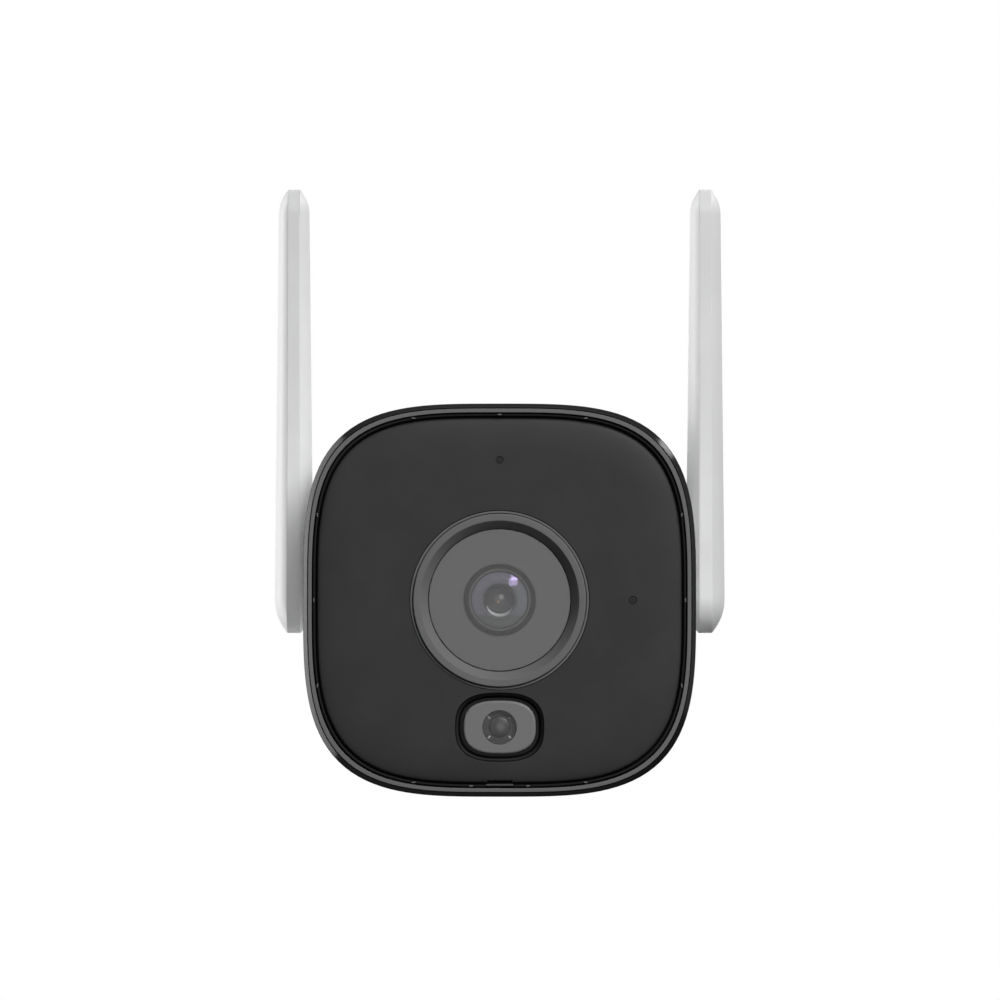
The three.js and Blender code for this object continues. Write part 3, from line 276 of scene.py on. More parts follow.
class Wire:                                 # a node's socket that can stand in a sum
    def __init__(self, paint, socket):
        self.paint, self.socket = paint, socket

    def maths(self, operation, first, second):
        return self.paint.node("Math", {"operation": operation}, {0: first, 1: second})

    def __add__(self, other):
        return self.maths("ADD", self, other)

    def __sub__(self, other):
        return self.maths("SUBTRACT", self, other)

    def __rsub__(self, other):
        return self.maths("SUBTRACT", other, self)

    def __mul__(self, other):
        return self.maths("MULTIPLY", self, other)

    def __pow__(self, other):
        return self.maths("POWER", self, other)

    def __lt__(self, other):
        return self.maths("LESS_THAN", self, other)

    def __gt__(self, other):
        return self.maths("GREATER_THAN", self, other)


class Paint:                                # one material and its nodes
    def __init__(self, name, shine=0.5, **constants):
        self.material = bpy.data.materials.new(name)
        self.material.use_nodes = True
        self.tree = self.material.node_tree
        self.shader = self.tree.nodes["Principled BSDF"]
        self.join(shine, self.shader.inputs["Specular IOR Level"])
        self.feed(**constants)
        self.place = self.node("TexCoord", output="Object")

    def node(self, kind, settings=None, values=None, output=0):
        made = self.tree.nodes.new("ShaderNode" + kind)
        for key, value in (settings or {}).items():
            setattr(made, key, value)
        for key, value in (values or {}).items():
            self.join(value, made.inputs[key])
        return Wire(self, made.outputs[output])

    def socket(self, key):                  # BaseColor stands for the socket Base Color
        spaced = "".join(" " + c if c.isupper() else c for c in key).strip()
        return self.shader.inputs[key if key in self.shader.inputs else spaced]

    def join(self, value, socket):
        if isinstance(value, Wire):
            self.tree.links.new(value.socket, socket)
        elif isinstance(value, tuple) and len(value) == 3 and len(socket.default_value) == 4:
            socket.default_value = (*value, 1)
        else:
            socket.default_value = value

    def feed(self, **values):
        for key, value in values.items():
            self.join(value, self.socket(key))
        return self

    def noise(self, scale, detail=2.0):     # grain, with its scale in waves per metre
        return self.node("TexNoise", None, {"Vector": self.place, "Scale": scale, "Detail": detail,
                                            "Roughness": 0.5})

    def mix(self, mask, first, second):
        return self.node("Mix", {"data_type": "RGBA"}, {0: mask, 6: first, 7: second}, output=2)

    def bump(self, height, strength, distance):
        return self.node("Bump", None, {"Height": height, "Strength": strength, "Distance": distance})

    def range(self, value, low, high, newLow, newHigh):
        return self.node("MapRange", None, {"Value": value, "From Min": low, "From Max": high,
                                            "To Min": newLow, "To Max": newHigh})

    def spread(self, noise, low, high):     # noise seldom leaves 0.3 to 0.7
        return self.range(noise, 0.3, 0.7, low, high)

    def parts(self):                        # how far a point lies across, behind the rim's front, and up
        split = self.tree.nodes.new("ShaderNodeSeparateXYZ")
        self.join(self.place, split.inputs[0])
        x, y, z = [Wire(self, split.outputs[i]) for i in range(3)]
        return x, y - faceFront, z


def farFrom(x, z, acrossAt=0, upAt=0):      # distance from a point of the face
    x, z = x - acrossAt, z - upAt
    return (x * x + z * z) ** 0.5


def between(value, low, high):
    return (value > low) * (value < high)


def mouldedPlastic(name, look, paintedShade=None):
    paint = Paint(name, look.shine, IOR=look.index)
    grain = paint.noise(look.grain, 3)
    cloud = paint.noise(look.grain / 90, 3)
    colour = paint.mix(paint.range(cloud, 0.35, 0.65, 0, 1), look.dark, look.light)
    if paintedShade:                               # painted shade: a part of the surface that is painted black where shade falls
        colour = paint.mix(paintedShade(paint), colour, paintedShadeSizes.black)
    rough = paint.spread(grain, look.rough - 0.03, look.rough + 0.03)
    paint.feed(BaseColor=colour, Roughness=rough + (cloud - 0.5) * look.smudge,
               Normal=paint.bump(grain, look.bump, look.depth))
    return paint


whiteLook = Values({
    "dark": (0.75, 0.752, 0.755), "light": (0.79, 0.792, 0.795), "rough": 0.42, "grain": 5200,
    "smudge": 0.12, "bump": 0.25, "depth": 0.00004, "index": 1.46, "shine": 0.25})
panelLook = Values({
    "dark": (0.031, 0.0312, 0.032), "light": (0.036, 0.0362, 0.037), "rough": 0.5, "grain": 9000,
    "smudge": 0.06, "bump": 0.25, "depth": 0.00003, "index": 1.4, "shine": 0.25})
ringLook = Values({
    "dark": (0.166, 0.1665, 0.168), "light": (0.182, 0.1825, 0.184), "rough": 0.55, "grain": 7000,
    "smudge": 0.05, "bump": 0.06, "depth": 0.00002, "index": 1.4, "shine": 0.02})
innerLook = Values({
    "dark": (0.010, 0.010, 0.011), "light": (0.017, 0.017, 0.018), "rough": 0.6, "grain": 4200,
    "smudge": 0.1, "bump": 0.4, "depth": 0.00006, "index": 1.46, "shine": 0.3})
emitterLook = Values({
    "dark": (0.7, 0.6, 0.2), "light": (0.85, 0.75, 0.3), "rough": 0.4, "grain": 4000,
    "smudge": 0.1, "bump": 0.2, "depth": 0.00003, "index": 1.46, "shine": 0.5})
# depths and places of the painted shade in the lamp's opening and at the lens ring's foot
paintedShadeSizes = Values({"recess": 0.0009, "bandFrom": 0.00145, "bandTo": 0.0019, "recessHalf": 0.0105,
                     "recessLow": -0.0345, "recessHigh": -0.0183, "ringFoot": 0.00278,
                     "black": (0.004, 0.004, 0.0042)})


def lampRecessShade(paint, s=paintedShadeSizes):        # painted shade: the wall of the lamp's opening is painted black, but for a thin band halfway
    x, deep, z = paint.parts()
    near = between(x, -s.recessHalf, s.recessHalf) * between(z, s.recessLow, s.recessHigh)
    return near * (deep > s.recess) * (1 - between(deep, s.bandFrom, s.bandTo))


def ringFoot(paint):                        # painted shade: the funnel's foot, where it meets the window, is painted black
    return paint.parts()[1] > paintedShadeSizes.ringFoot


whitePlastic = mouldedPlastic("whitePlastic", whiteLook)
panelPlastic = mouldedPlastic("panelPlastic", panelLook, lampRecessShade)
ringPlastic = mouldedPlastic("ringPlastic", ringLook, ringFoot)
blackPlastic = mouldedPlastic("blackPlastic", innerLook)

rimLook = Values({"index": 1.085, "landDepth": 0.00006, "stripFrom": 0.0005, "stripTo": 0.00066,
                  "landDark": (0.168, 0.1685, 0.17), "landLight": (0.183, 0.1835, 0.185),
                  "skin": (0.007, 0.0071, 0.0075), "strip": (0.022, 0.022, 0.023), "rough": (0.13, 0.18),
                  "landRough": 0.4})


# The rim is satin black. Its flat front land is painted paler grey, and a grey strip lines the groove
def rimFinish(s):
    paint = Paint("rimPlastic", IOR=s.index)
    grain = paint.noise(7000, 3)
    deep = paint.parts()[1]
    land = paint.mix(grain, s.landDark, s.landLight)
    skin = paint.mix(between(deep, s.stripFrom, s.stripTo), s.skin, s.strip)
    flat = deep < s.landDepth
    rough = paint.spread(grain, *s.rough) + flat * s.landRough
    return paint.feed(BaseColor=paint.mix(flat, skin, land), Roughness=rough,
                      Normal=paint.bump(grain, 0.04, 0.00002))


def flatMask(name, dark, light, rough):
    paint = Paint(name, 0.2, IOR=1.4)
    grain = paint.noise(9000, 2)
    paint.feed(BaseColor=paint.mix(grain, dark, light), Roughness=paint.spread(grain, rough, rough + 0.08))
    return paint


windowLook = Values({"coat": 0.08, "mirror": 0.53, "mask": (0.079, 0.079, 0.0795), "maskDepth": 0.00515,
                     "bore": (0.012, 0.012, 0.012)})


def clearWindow(s):                         # clear window with a thin mirror coating
    paint = Paint("clearWindow", Metallic=1.0, Alpha=s.coat)
    haze = paint.noise(60, 2)
    paint.feed(BaseColor=paint.mix(haze, (s.mirror - 0.02,) * 3, (s.mirror + 0.02,) * 3),
               Roughness=paint.spread(haze, 0.02, 0.05))
    return paint


def satinMask(s):                           # grey satin coating behind the window, black in its bore
    paint = Paint("windowMask", Metallic=1.0)
    grain = paint.noise(2500, 2)
    satin = paint.mix(grain, tuple(c * 0.97 for c in s.mask), tuple(c * 1.03 for c in s.mask))
    paint.feed(BaseColor=paint.mix(paint.parts()[1] > s.maskDepth, satin, s.bore),
               Roughness=paint.spread(grain, 0.16, 0.2))
    return paint


# foot is the painted shade on the cover's flange, down in the moat
lampLook = Values({"place": -0.0268, "patch": 0.00363, "edge": 0.00006, "grey": (0.203, 0.203, 0.205),
                   "haze": 0.17, "shoulder": 0.0018, "foot": (0.003, 0.003, 0.0035)})


def lampCover(s):                           # grey cover with a clear round patch; below its shoulder it is painted black as shade in the moat
    paint = Paint("lampCover", 0.2, IOR=1.5)
    x, deep, z = paint.parts()
    reach = farFrom(x, z, 0, s.place)
    grain = paint.noise(8000, 2)
    grey = paint.mix(grain, tuple(c * 0.97 for c in s.grey), s.grey)
    paint.feed(BaseColor=paint.mix(deep > s.shoulder, grey, s.foot),
               Alpha=paint.range(reach, s.patch - s.edge, s.patch + s.edge, s.haze, 1),
               Roughness=paint.spread(grain, 0.3, 0.36))
    return paint


# left, right and high are painted reflection tints of the coating
glassLook = Values({"index": 1.8, "tint": (0.64, 0.5, 0.94, 1), "half": 0.005, "top": 0.006,
                    "ridge": 0.0050, "ridgeWidth": 0.0000004,
                    "left": (0.09, 0.108, 0.084), "right": (0.088, 0.122, 0.082),
                    "high": (0.10, 0.10, 0.10), "pale": (0.12, 0.13, 0.13), "clearTo": 0.0033,
                    "milkyFrom": 0.0039, "clearCover": 0.14, "milkyCover": 0.85})


def coatedGlass(s):                         # milky outside, clear in the middle, with a violet coating; painted reflection makes it greener at the sides and greyer towards the top
    paint = Paint("coatedGlass", IOR=s.index, Roughness=0.04)
    paint.shader.inputs["Specular Tint"].default_value = s.tint
    x, deep, z = paint.parts()
    up = paint.range(z, 0, s.top, 0, 1)
    side = paint.mix(paint.range(x, -s.half, s.half, 0, 1), s.left, s.right)
    reach = farFrom(x, z)
    ridge = paint.range((reach - s.ridge) * (reach - s.ridge), 0, s.ridgeWidth, 0.6, 0)
    paint.feed(BaseColor=paint.mix(ridge, paint.mix(up * up, side, s.high), s.pale),
               Alpha=paint.range(reach, s.clearTo, s.milkyFrom, s.clearCover, s.milkyCover))
    return paint


# spots are painted highlights, each a place, size and tint
rearLook = Values({"middle": (0.12, 0.112, 0.095), "outer": (0.088, 0.09, 0.09), "start": 0.0004,
                   "end": 0.0026,
                   "spots": [((0.0004, 0.0006), 0.00075, (0.62, 0.61, 0.56)),
                             ((-0.00028, -0.00042), 0.00036, (1.0, 0.5, 0.15))]})


def rearGlassFinish(s):                     # smoky glass, lighter and warmer in the middle, with a pale and an orange spot painted on as highlights
    paint = Paint("rearGlassFinish", IOR=1.6, Alpha=0.92, Roughness=0.05)
    x, deep, z = paint.parts()
    colour = paint.mix(paint.range(farFrom(x, z), s.start, s.end, 0, 1), s.middle, s.outer)
    for place, size, tint in s.spots:
        colour = paint.mix(paint.range(farFrom(x, z, *place), size * 0.4, size, 0.9, 0), colour, tint)
    return paint.feed(BaseColor=colour)


barrelLook = Values({"front": 0.0064, "bareFrom": 0.0094, "bareTo": 0.0108, "bareReach": 0.0028,
                     "drop": -0.001, "dropReach": 0.00275, "dark": (0.010, 0.010, 0.010),
                     "light": (0.016, 0.016, 0.016), "face": (0.078, 0.079, 0.08),
                     "bare": (0.86, 0.87, 0.89)})


def barrelFinish(s):                        # satin black, grey in front, with a painted highlight as a pale crescent on the lower side by the rear glass
    paint = Paint("barrelFinish", 0.2, IOR=1.4)
    x, deep, z = paint.parts()
    grain = paint.noise(6000, 3)
    glintCrescent = (farFrom(x, z) > s.bareReach) * (farFrom(x, z, 0, s.drop) < s.dropReach)
    colour = paint.mix(deep < s.front, paint.mix(grain, s.dark, s.light), s.face)
    paint.feed(BaseColor=paint.mix(glintCrescent * between(deep, s.bareFrom, s.bareTo), colour, s.bare),
               Roughness=paint.spread(grain, 0.45, 0.6))
    return paint


def brushedSteel(name="brushedSteel", base=(0.55, 0.56, 0.58)):
    paint = Paint(name, Metallic=1.0)
    stretched = paint.node("Mapping", None, {"Vector": paint.place, "Scale": (1, 12, 12)})
    streak = paint.node("TexNoise", None, {"Vector": stretched, "Scale": 900.0, "Detail": 3.0})
    paint.feed(BaseColor=paint.mix(streak, tuple(c * 0.85 for c in base), base),
               Roughness=paint.spread(streak, 0.24, 0.36), Normal=paint.bump(streak, 0.12, 0.00002))
    return paint


def softRubber():
    paint = Paint("softRubber", 0.25, IOR=1.5)
    grain = paint.noise(5200, 3)
    paint.feed(BaseColor=paint.mix(grain, (0.010, 0.010, 0.010), (0.022, 0.022, 0.023)),
               Roughness=paint.spread(grain, 0.68, 0.8), Normal=paint.bump(grain, 0.4, 0.00005))
    return paint


lampLensLook = Values({"aside": 0.0002, "milkFrom": 0.0004, "milkTo": 0.00115, "milk": 0.34,
                       "ringFrom": 0.00218, "ringTo": 0.00234, "ringLeft": 0.0006, "ring": 0.4,
                       "dark": (0.072, 0.0725, 0.073), "light": (0.080, 0.0805, 0.081),
                       "milkTint": (0.5, 0.5, 0.5), "ringTint": (0.3, 0.3, 0.3)})


def lampLensFinish(s, up):                  # smoky lens with a painted highlight as a pale middle, and part of a pale ring painted as a highlight on its right
    paint = Paint("lampLensFinish", IOR=1.5)
    x, deep, z = paint.parts()
    grain = paint.noise(6000, 2)
    reach = farFrom(x, z, s.aside, up)
    milk = paint.range(reach, s.milkFrom, s.milkTo, s.milk, 0)
    ringGlint = between(reach, s.ringFrom, s.ringTo) * (x > s.ringLeft)
    lens = paint.mix(milk, paint.mix(grain, s.dark, s.light), s.milkTint)
    paint.feed(BaseColor=paint.mix(ringGlint * s.ring, lens, s.ringTint),
               Roughness=paint.spread(grain, 0.28, 0.36))
    return paint


def circuitBoard():                         # solder mask with copper tracks that show through it
    paint = Paint("circuitBoard", IOR=1.5)
    tracks = paint.node("TexBrick", {"offset": 0.5}, {
        "Vector": paint.place, "Scale": 260.0, "Mortar Size": 0.012, "Color1": (0.010, 0.075, 0.035, 1),
        "Color2": (0.012, 0.082, 0.04, 1), "Mortar": (0.03, 0.16, 0.07, 1)})
    grain = paint.noise(3000, 3)
    paint.feed(BaseColor=paint.mix(grain * 0.3, tracks, (0.02, 0.1, 0.05)),
               Roughness=paint.spread(grain, 0.35, 0.5), Normal=paint.bump(grain, 0.1, 0.00002))
    return paint


rimPlastic = rimFinish(rimLook)
maskPaint = satinMask(windowLook)
gauzePaint = flatMask("darkGauze", (0.024, 0.024, 0.024), (0.03, 0.03, 0.03), 0.7)
ribPaint = flatMask("paleRib", (0.15, 0.15, 0.151), (0.18, 0.18, 0.181), 0.45)
# painted shade: the catch under the notch is painted darker than the ribs
shadedBarPaint = flatMask("catchPaintedShade", (0.060, 0.060, 0.061), (0.074, 0.074, 0.075), 0.45)
# painted highlight: the white of the lamp lens's marks
glintPaint = flatMask("paintedGlint", (0.82, 0.82, 0.82), (0.9, 0.9, 0.9), 0.5)
windowPaint = clearWindow(windowLook)
coverPaint = lampCover(lampLook)
lensGlass = coatedGlass(glassLook)
rearGlassPaint = rearGlassFinish(rearLook)
barrelPaint = barrelFinish(barrelLook)
lampLensPaint = lampLensFinish(lampLensLook, lampLook.place)
steelPaint = brushedSteel()
aluminiumPaint = brushedSteel("cutAluminium", (0.62, 0.63, 0.65))
rubberPaint = softRubber()
boardPaint = circuitBoard()
print("materials made")


# Front

bezelSizes = Values({"half": 41.5, "shoulder": 1.1, "shoulderDepth": 2.0, "land": 39.6, "groove": 39.3,
                     "ledge": 38.9, "grooveDepth": 1.6, "stripDepth": 0.55, "trayDepth": 3.6,
                     "trayBack": 5.6, "back": 6.5, "plug": 38.6, "plugEnd": 8.8, "plugInner": 36.6,
                     "screw": 27.5, "screwHole": 1.7, "cut": (2, 7),
                     "holes": [(17.0, 0, 0, 96), (4.6, 0, -26.8, 48), (0.8, 0, 29.6, 24),
                               (0.9, 28.1, 0, 24)]})


def makeBezel(s):
    flat = s.half - s.shoulder
    profile = [(s.ledge, s.trayDepth), (s.ledge, s.stripDepth + 0.1), (s.ledge + 0.08, s.stripDepth),
               (s.groove - 0.06, s.stripDepth), (s.groove, s.stripDepth + 0.08), (s.groove, s.grooveDepth),
               (s.land, s.grooveDepth), (s.land, 0.12), (s.land + 0.05, 0.03), (s.land + 0.12, 0),
               (flat - 0.04, 0), (flat + 0.01, 0.03), (flat + 0.04, 0.14), (flat + 0.13, 0.14),
               (flat + 0.16, 0.1), (flat + 0.22, 0.12)]
    profile += [(s.half - 0.12, s.shoulderDepth - 0.35), (s.half - 0.03, s.shoulderDepth - 0.1),
                (s.half, s.shoulderDepth + 0.1)]
    profile += [(s.half, s.back - 0.3), (s.half - 0.08, s.back - 0.08), (s.half - 0.3, s.back),
                (s.plug, s.back), (s.plug, s.plugEnd), (s.plugInner, s.plugEnd), (s.plugInner, s.trayBack)]
    bezel = loft("frontBezel", profile, faceSteps, faceSquareness)
    holes = s.holes + [(s.screwHole, x, z, 24) for x, z in corners(s.screw)]
    combine(bezel, [drill(radius, x, z, *s.cut, steps) for radius, x, z, steps in holes])
    return smooth(bezel)


panelSizes = Values({"half": 38.45, "front": 0.7, "crown": 8.0, "crownDrop": 1.0, "back": 3.6,
                     "lens": 19.0, "lampWidth": 9.43, "lampHeight": 7.34, "lampDraft": 1.15, "lip": 2.8,
                     "lipBack": 2.95, "lampPlace": -26.8, "mic": (0, 29.6, 0.8), "status": (28.1, 0, 0.9),
                     "notchWidth": 5.2, "notchDepth": 0.45, "cut": (-1, 6)})


def makePanel(s):
    profile = []
    for i in range(17):                     # pillowed edge, rolling over at its rim
        turn = i / 16 * math.pi / 2
        profile.append((s.half - s.crown * (1 - math.sin(turn)),
                        s.front + s.crownDrop * (1 - math.cos(turn))))
    profile += [(s.half, s.back)]
    panel = loft("frontPanel", profile, faceSteps, faceSquareness)
    width, height, draft = s.lampWidth, s.lampHeight, s.lampDraft
    front, back = s.cut
    lamp = loft("cut", [(width, height, front), (width, height, s.front + 0.15),
                        (width - draft, height - draft, s.lip), (width - draft, height - draft, s.lipBack),
                        (width, height, s.lipBack), (width, height, back)], 96, 2.7, (0, s.lampPlace))
    notch = box("cut", at(-s.notchWidth / 2, front, -s.half - 1),
                at(s.notchWidth / 2, back, -s.half + s.notchDepth))
    combine(panel, [drill(s.lens, 0, 0, front, back, faceSteps), lamp, notch]
            + [drill(radius, x, z, front, back, 32) for x, z, radius in (s.mic, s.status)])
    softenEdges(panel, 0.1, 2, 50)
    return smooth(panel)


ringSizes = Values({"outer": 18.26, "flangeOuter": 18.84, "flangeInner": 18.44, "flangeFront": 0.85,
                    "front": 0.15, "chamfer": 0.25, "land": 1.2, "bottom": 14.95, "depth": 3.0,
                    "seat": 3.3, "collarInner": 15.9, "collarOuter": 16.7, "collarEnd": 5.4, "back": 3.55,
                    "step": 1.6})


def makeLensRing(s):
    lip = s.outer - s.chamfer
    inner = lip - s.land
    profile = [(s.flangeOuter, s.back), (s.flangeOuter, s.flangeFront), (s.flangeInner, s.flangeFront),
               (s.flangeInner, s.flangeFront + s.step), (s.outer, s.flangeFront + s.step),
               (s.outer, s.front + s.chamfer)]
    profile += arc(s.outer, s.front + s.chamfer, lip, s.front, 4)
    profile += [(lip - 0.1, s.front), (inner + 0.1, s.front), (inner, s.front + 0.03)]
    for i in range(1, 9):                   # funnel, slightly hollow
        share = i / 8
        profile.append((inner + (s.bottom + 0.08 - inner) * share ** 0.92,
                        s.front + 0.03 + (s.depth - s.front - 0.1) * share))
    profile += [(s.bottom, s.depth), (s.bottom, s.seat), (s.collarInner, s.seat),
                (s.collarInner, s.collarEnd), (s.collarOuter, s.collarEnd), (s.collarOuter, s.back),
                (s.flangeOuter, s.back)]
    return smooth(loft("lensRing", profile, 192, closed=True))


windowSizes = Values({"radius": 15.6, "front": 3.3, "back": 5.03})
shroudSizes = Values({"bore": 7.4, "front": 5.1, "flangeFront": 5.6, "back": 6.8, "outer": 15.6,
                      "flange": 20.0, "chamfer": 0.3})


def makeWindow(s):
    profile = [(s.radius - 0.1, s.front), (s.radius, s.front + 0.1), (s.radius, s.back)]
    return smooth(loft("lensWindow", profile, 128), 40)


def makeShroud(s):
    profile = [(s.bore + s.chamfer, s.front), (s.outer, s.front), (s.outer, s.flangeFront),
               (s.flange, s.flangeFront), (s.flange, s.back), (s.bore, s.back),
               (s.bore, s.front + s.chamfer), (s.bore + s.chamfer, s.front)]
    return smooth(loft("lensShroud", profile, 128, closed=True))


barrelSizes = Values({"front": 6.2, "head": 6.6, "headEnd": 13.0, "thread": 5.9, "end": 26.0, "lip": 0.5,
                      "bore": 4.2, "cell": 8.4, "grooves": 9, "groovePitch": 0.6, "crests": 26,
                      "crestPitch": 0.48,
                      "throat": [(2.2, 13.0), (2.2, 12.4), (2.95, 12.4), (2.95, 10.4), (3.3, 9.7),
                                 (3.45, 9.6), (4.2, 9.6), (4.2, 8.4)]})
glassSizes = Values({"radius": 5.9, "edge": 6.7, "bulge": 0.8, "seat": 8.4})
rearGlassSizes = Values({"radius": 2.75, "edge": 10.9, "bulge": 1.3, "seat": 12.4})


def makeBarrel(s):
    inner = s.head - s.lip
    profile = [(inner + 0.1, s.front), (s.head - 0.12, s.front), (s.head, s.front + 0.12)]
    for i in range(s.grooves):              # grip grooves round the head, hidden by the shroud
        start = s.front + 1.2 + i * s.groovePitch
        profile += [(s.head, start), (s.head - 0.2, start + 0.1), (s.head - 0.2, start + 0.3),
                    (s.head, start + 0.4)]
    profile += [(s.head, s.headEnd), (s.thread, s.headEnd)]
    for i in range(s.crests):               # thread crests
        start = s.headEnd + 0.3 + i * s.crestPitch
        profile += [(s.thread, start), (s.thread - 0.22, start + 0.24)]
    profile += [(s.thread, s.end), (s.bore, s.end), (s.bore, s.headEnd)] + s.throat
    profile += [(inner, s.cell), (inner, s.front + 0.1), (inner + 0.1, s.front)]
    return smooth(loft("lensBarrel", profile, 96, closed=True))


def makeElement(name, s):                   # a lens, domed at the front
    profile = []
    for i in range(24, 0, -1):
        share = i / 24
        profile.append((s.radius * share, s.edge - s.bulge * (1 - share ** 2)))
    profile.reverse()
    profile += [(s.radius, s.seat - 0.1), (s.radius - 0.1, s.seat)]
    return smooth(loft(name, profile, 96), 40)


lampSizes = Values({"width": 7.64, "height": 5.63, "front": 1.1, "round": 0.5, "flangeFront": 3.0,
                    "back": 3.6, "flangeWidth": 9.13, "flangeHeight": 7.04, "place": -26.8,
                    "squareness": 2.7, "cavity": 4.0, "cavityFront": 2.1, "cavityBack": 5})


def makeLampWindow(s):
    profile = []
    for i in range(7):
        turn = i / 6 * math.pi / 2
        inset = s.round * (1 - math.sin(turn))
        profile.append((s.width - inset, s.height - inset, s.front + s.round * (1 - math.cos(turn))))
    profile += [(s.width, s.height, s.flangeFront), (s.flangeWidth, s.flangeHeight, s.flangeFront),
                (s.flangeWidth, s.flangeHeight, s.back)]
    window = loft("lampWindow", profile, 128, s.squareness, (0, s.place))
    combine(window, [drill(s.cavity, 0, s.place, s.cavityFront, s.cavityBack, 64)])
    return smooth(window)


lampLensSizes = Values({"radius": 3.64, "front": 2.4, "rim": 0.5, "foot": 1.9, "bore": 1.3,
                        "boreFront": 4.7, "back": 5.6, "dome": 2.26, "place": -26.8})


def makeLampLens(s):
    profile = [(0.05, s.front - 0.18), (0.5, s.front - 0.16), (1.0, s.front - 0.1), (1.5, s.front - 0.02),
               (s.dome - 0.1, s.front + 0.12), (s.dome, s.front + 0.2), (s.dome + 0.1, s.front),
               (s.radius - 0.08, s.front), (s.radius, s.front + 0.08), (s.radius, s.front + s.rim),
               (s.foot, s.back), (s.bore, s.back), (s.bore, s.boreFront)]
    return smooth(loft("lampLens", profile, 64, centre=(0, s.place)))


markSizes = Values({"length": 0.74, "width": 0.34, "height": 0.12,
                    "spots": [(-2.24, 2.03), (2.20, 2.07), (-2.24, -2.13), (2.18, -2.13)]})


def makeMarks(s, lens):                     # four white boxes on the lamp lens, along its circle: painted highlights that stand for glints on the lens's clips
    mark = box("mark", at(-s.length / 2, lens.front - s.height, -s.width / 2),
               at(s.length / 2, lens.front + 0.1, s.width / 2), 0.05, 2)
    return scatter("lampMarks", mark, [(x, z + lens.place, math.pi / 2 - math.atan2(z, x))
                                       for x, z in s.spots])


plugSizes = Values({"face": 0.7, "front": 0.14, "crown": 0.06, "back": 1.1, "gap": 0.04})


def makePlug(name, place, s):               # low domed plug just under the panel's face
    radius = place[2] - s.gap
    profile = [(0.05, s.front + s.face)]
    for i in range(1, 7):
        share = i / 6
        profile.append((radius * share, s.front + s.face + s.crown * share ** 3))
    profile.append((radius, s.back + s.face))
    return smooth(loft(name, profile, 32, centre=(place[0], place[1])), 40)


ribSizes = Values({"length": 0.8, "width": 0.26, "front": 0.2, "back": 1.5, "reach": 39.17,
                   "spots": [90, 115.3, 64.7, 154.9, 180, 205.1, 25.1, 0, 334.9, 244.7, 295.3, 261.3,
                             278.7]})
barSizes = Values({"width": 5.7, "height": 0.42, "place": -38.95, "front": 0.35, "back": 1.4})


def rimPlace(angle, reach, n):              # a point on the rounded square and the turn of its edge
    turn = math.radians(angle)
    c, z = math.cos(turn), math.sin(turn)
    spread = (abs(c) ** n + abs(z) ** n) ** (-1 / n)
    x, z = reach * spread * c, reach * spread * z
    lean = math.atan2(math.copysign(abs(z) ** (n - 1), z), math.copysign(abs(x) ** (n - 1), x))
    return x, z, -lean


def makeRibs(s):                            # small pale ribs that bridge the groove
    half = Vector((s.width, 0, s.length)) * mm / 2
    rib = box("rib", at(0, s.front, 0) - half, at(0, s.back, 0) + half, 0.08, 2)
    return scatter("rimRibs", rib, [rimPlace(angle, s.reach, faceSquareness) for angle in s.spots])


def makeNotchBar(s):                        # catch that shows under the panel's notch, painted darker as shade in the notch
    half = Vector((s.width, 0, s.height)) * mm / 2
    bar = box("notchBar", at(0, s.front, s.place) - half, at(0, s.back, s.place) + half, 0.1, 2)
    return smooth(bar)


dress(makeBezel(bezelSizes), rimPlastic, "bezel_plastic", "front_bezel")
dress(makePanel(panelSizes), panelPlastic, "panel_plastic", "front_panel")
dress(makeLensRing(ringSizes), ringPlastic, "bezel_plastic", "lens_ring")
dress(makeWindow(windowSizes), windowPaint, "window_glass", "lens_window")
dress(makeShroud(shroudSizes), maskPaint, "black_plastic", "lens_shroud")
dress(makeBarrel(barrelSizes), barrelPaint, "black_plastic", "lens_barrel")
dress(makeElement("frontGlass", glassSizes), lensGlass, "lens_glass", "front_lens_element")
dress(makeElement("rearGlass", rearGlassSizes), rearGlassPaint, "lens_glass", "rear_lens_element")
dress(makeLampWindow(lampSizes), coverPaint, "lamp_cover", "lamp_window")
dress(makeLampLens(lampLensSizes), lampLensPaint, "window_glass", "lamp_lens")
dress(makeMarks(markSizes, lampLensSizes), glintPaint, "lamp_cover")
dress(makePlug("micGauze", panelSizes.mic, plugSizes), gauzePaint, "black_plastic")
dress(makePlug("statusGauze", panelSizes.status, plugSizes), gauzePaint, "black_plastic")
dress(makeRibs(ribSizes), ribPaint, "bezel_plastic")
dress(makeNotchBar(barSizes), shadedBarPaint, "bezel_plastic")
print("front made")


# Housing and rear cap

housingSizes = Values({"half": 41.2, "front": 7.0, "chamfer": 0.25, "backHalf": 39.75, "back": 86.0,
                       "wall": 2.2, "bay": 36.0, "coverWidth": 17.3, "coverLength": 10.3, "bayFace": -38.2,
                       "speaker": 66.0, "slotHalf": 7.0, "slot": 0.7, "slots": 5, "pitch": 3.2,
                       "pivot": 62.0, "pivotHole": 3.3, "padHalf": 19, "padReach": 11.5, "boxHalf": 12,
                       "boxReach": 7, "wellReach": 15, "wellBore": 13.3, "wellFloor": -37.3,
                       "padTop": -35, "boxTop": -33, "wellTop": -34, "boreTop": -32, "across": 50})


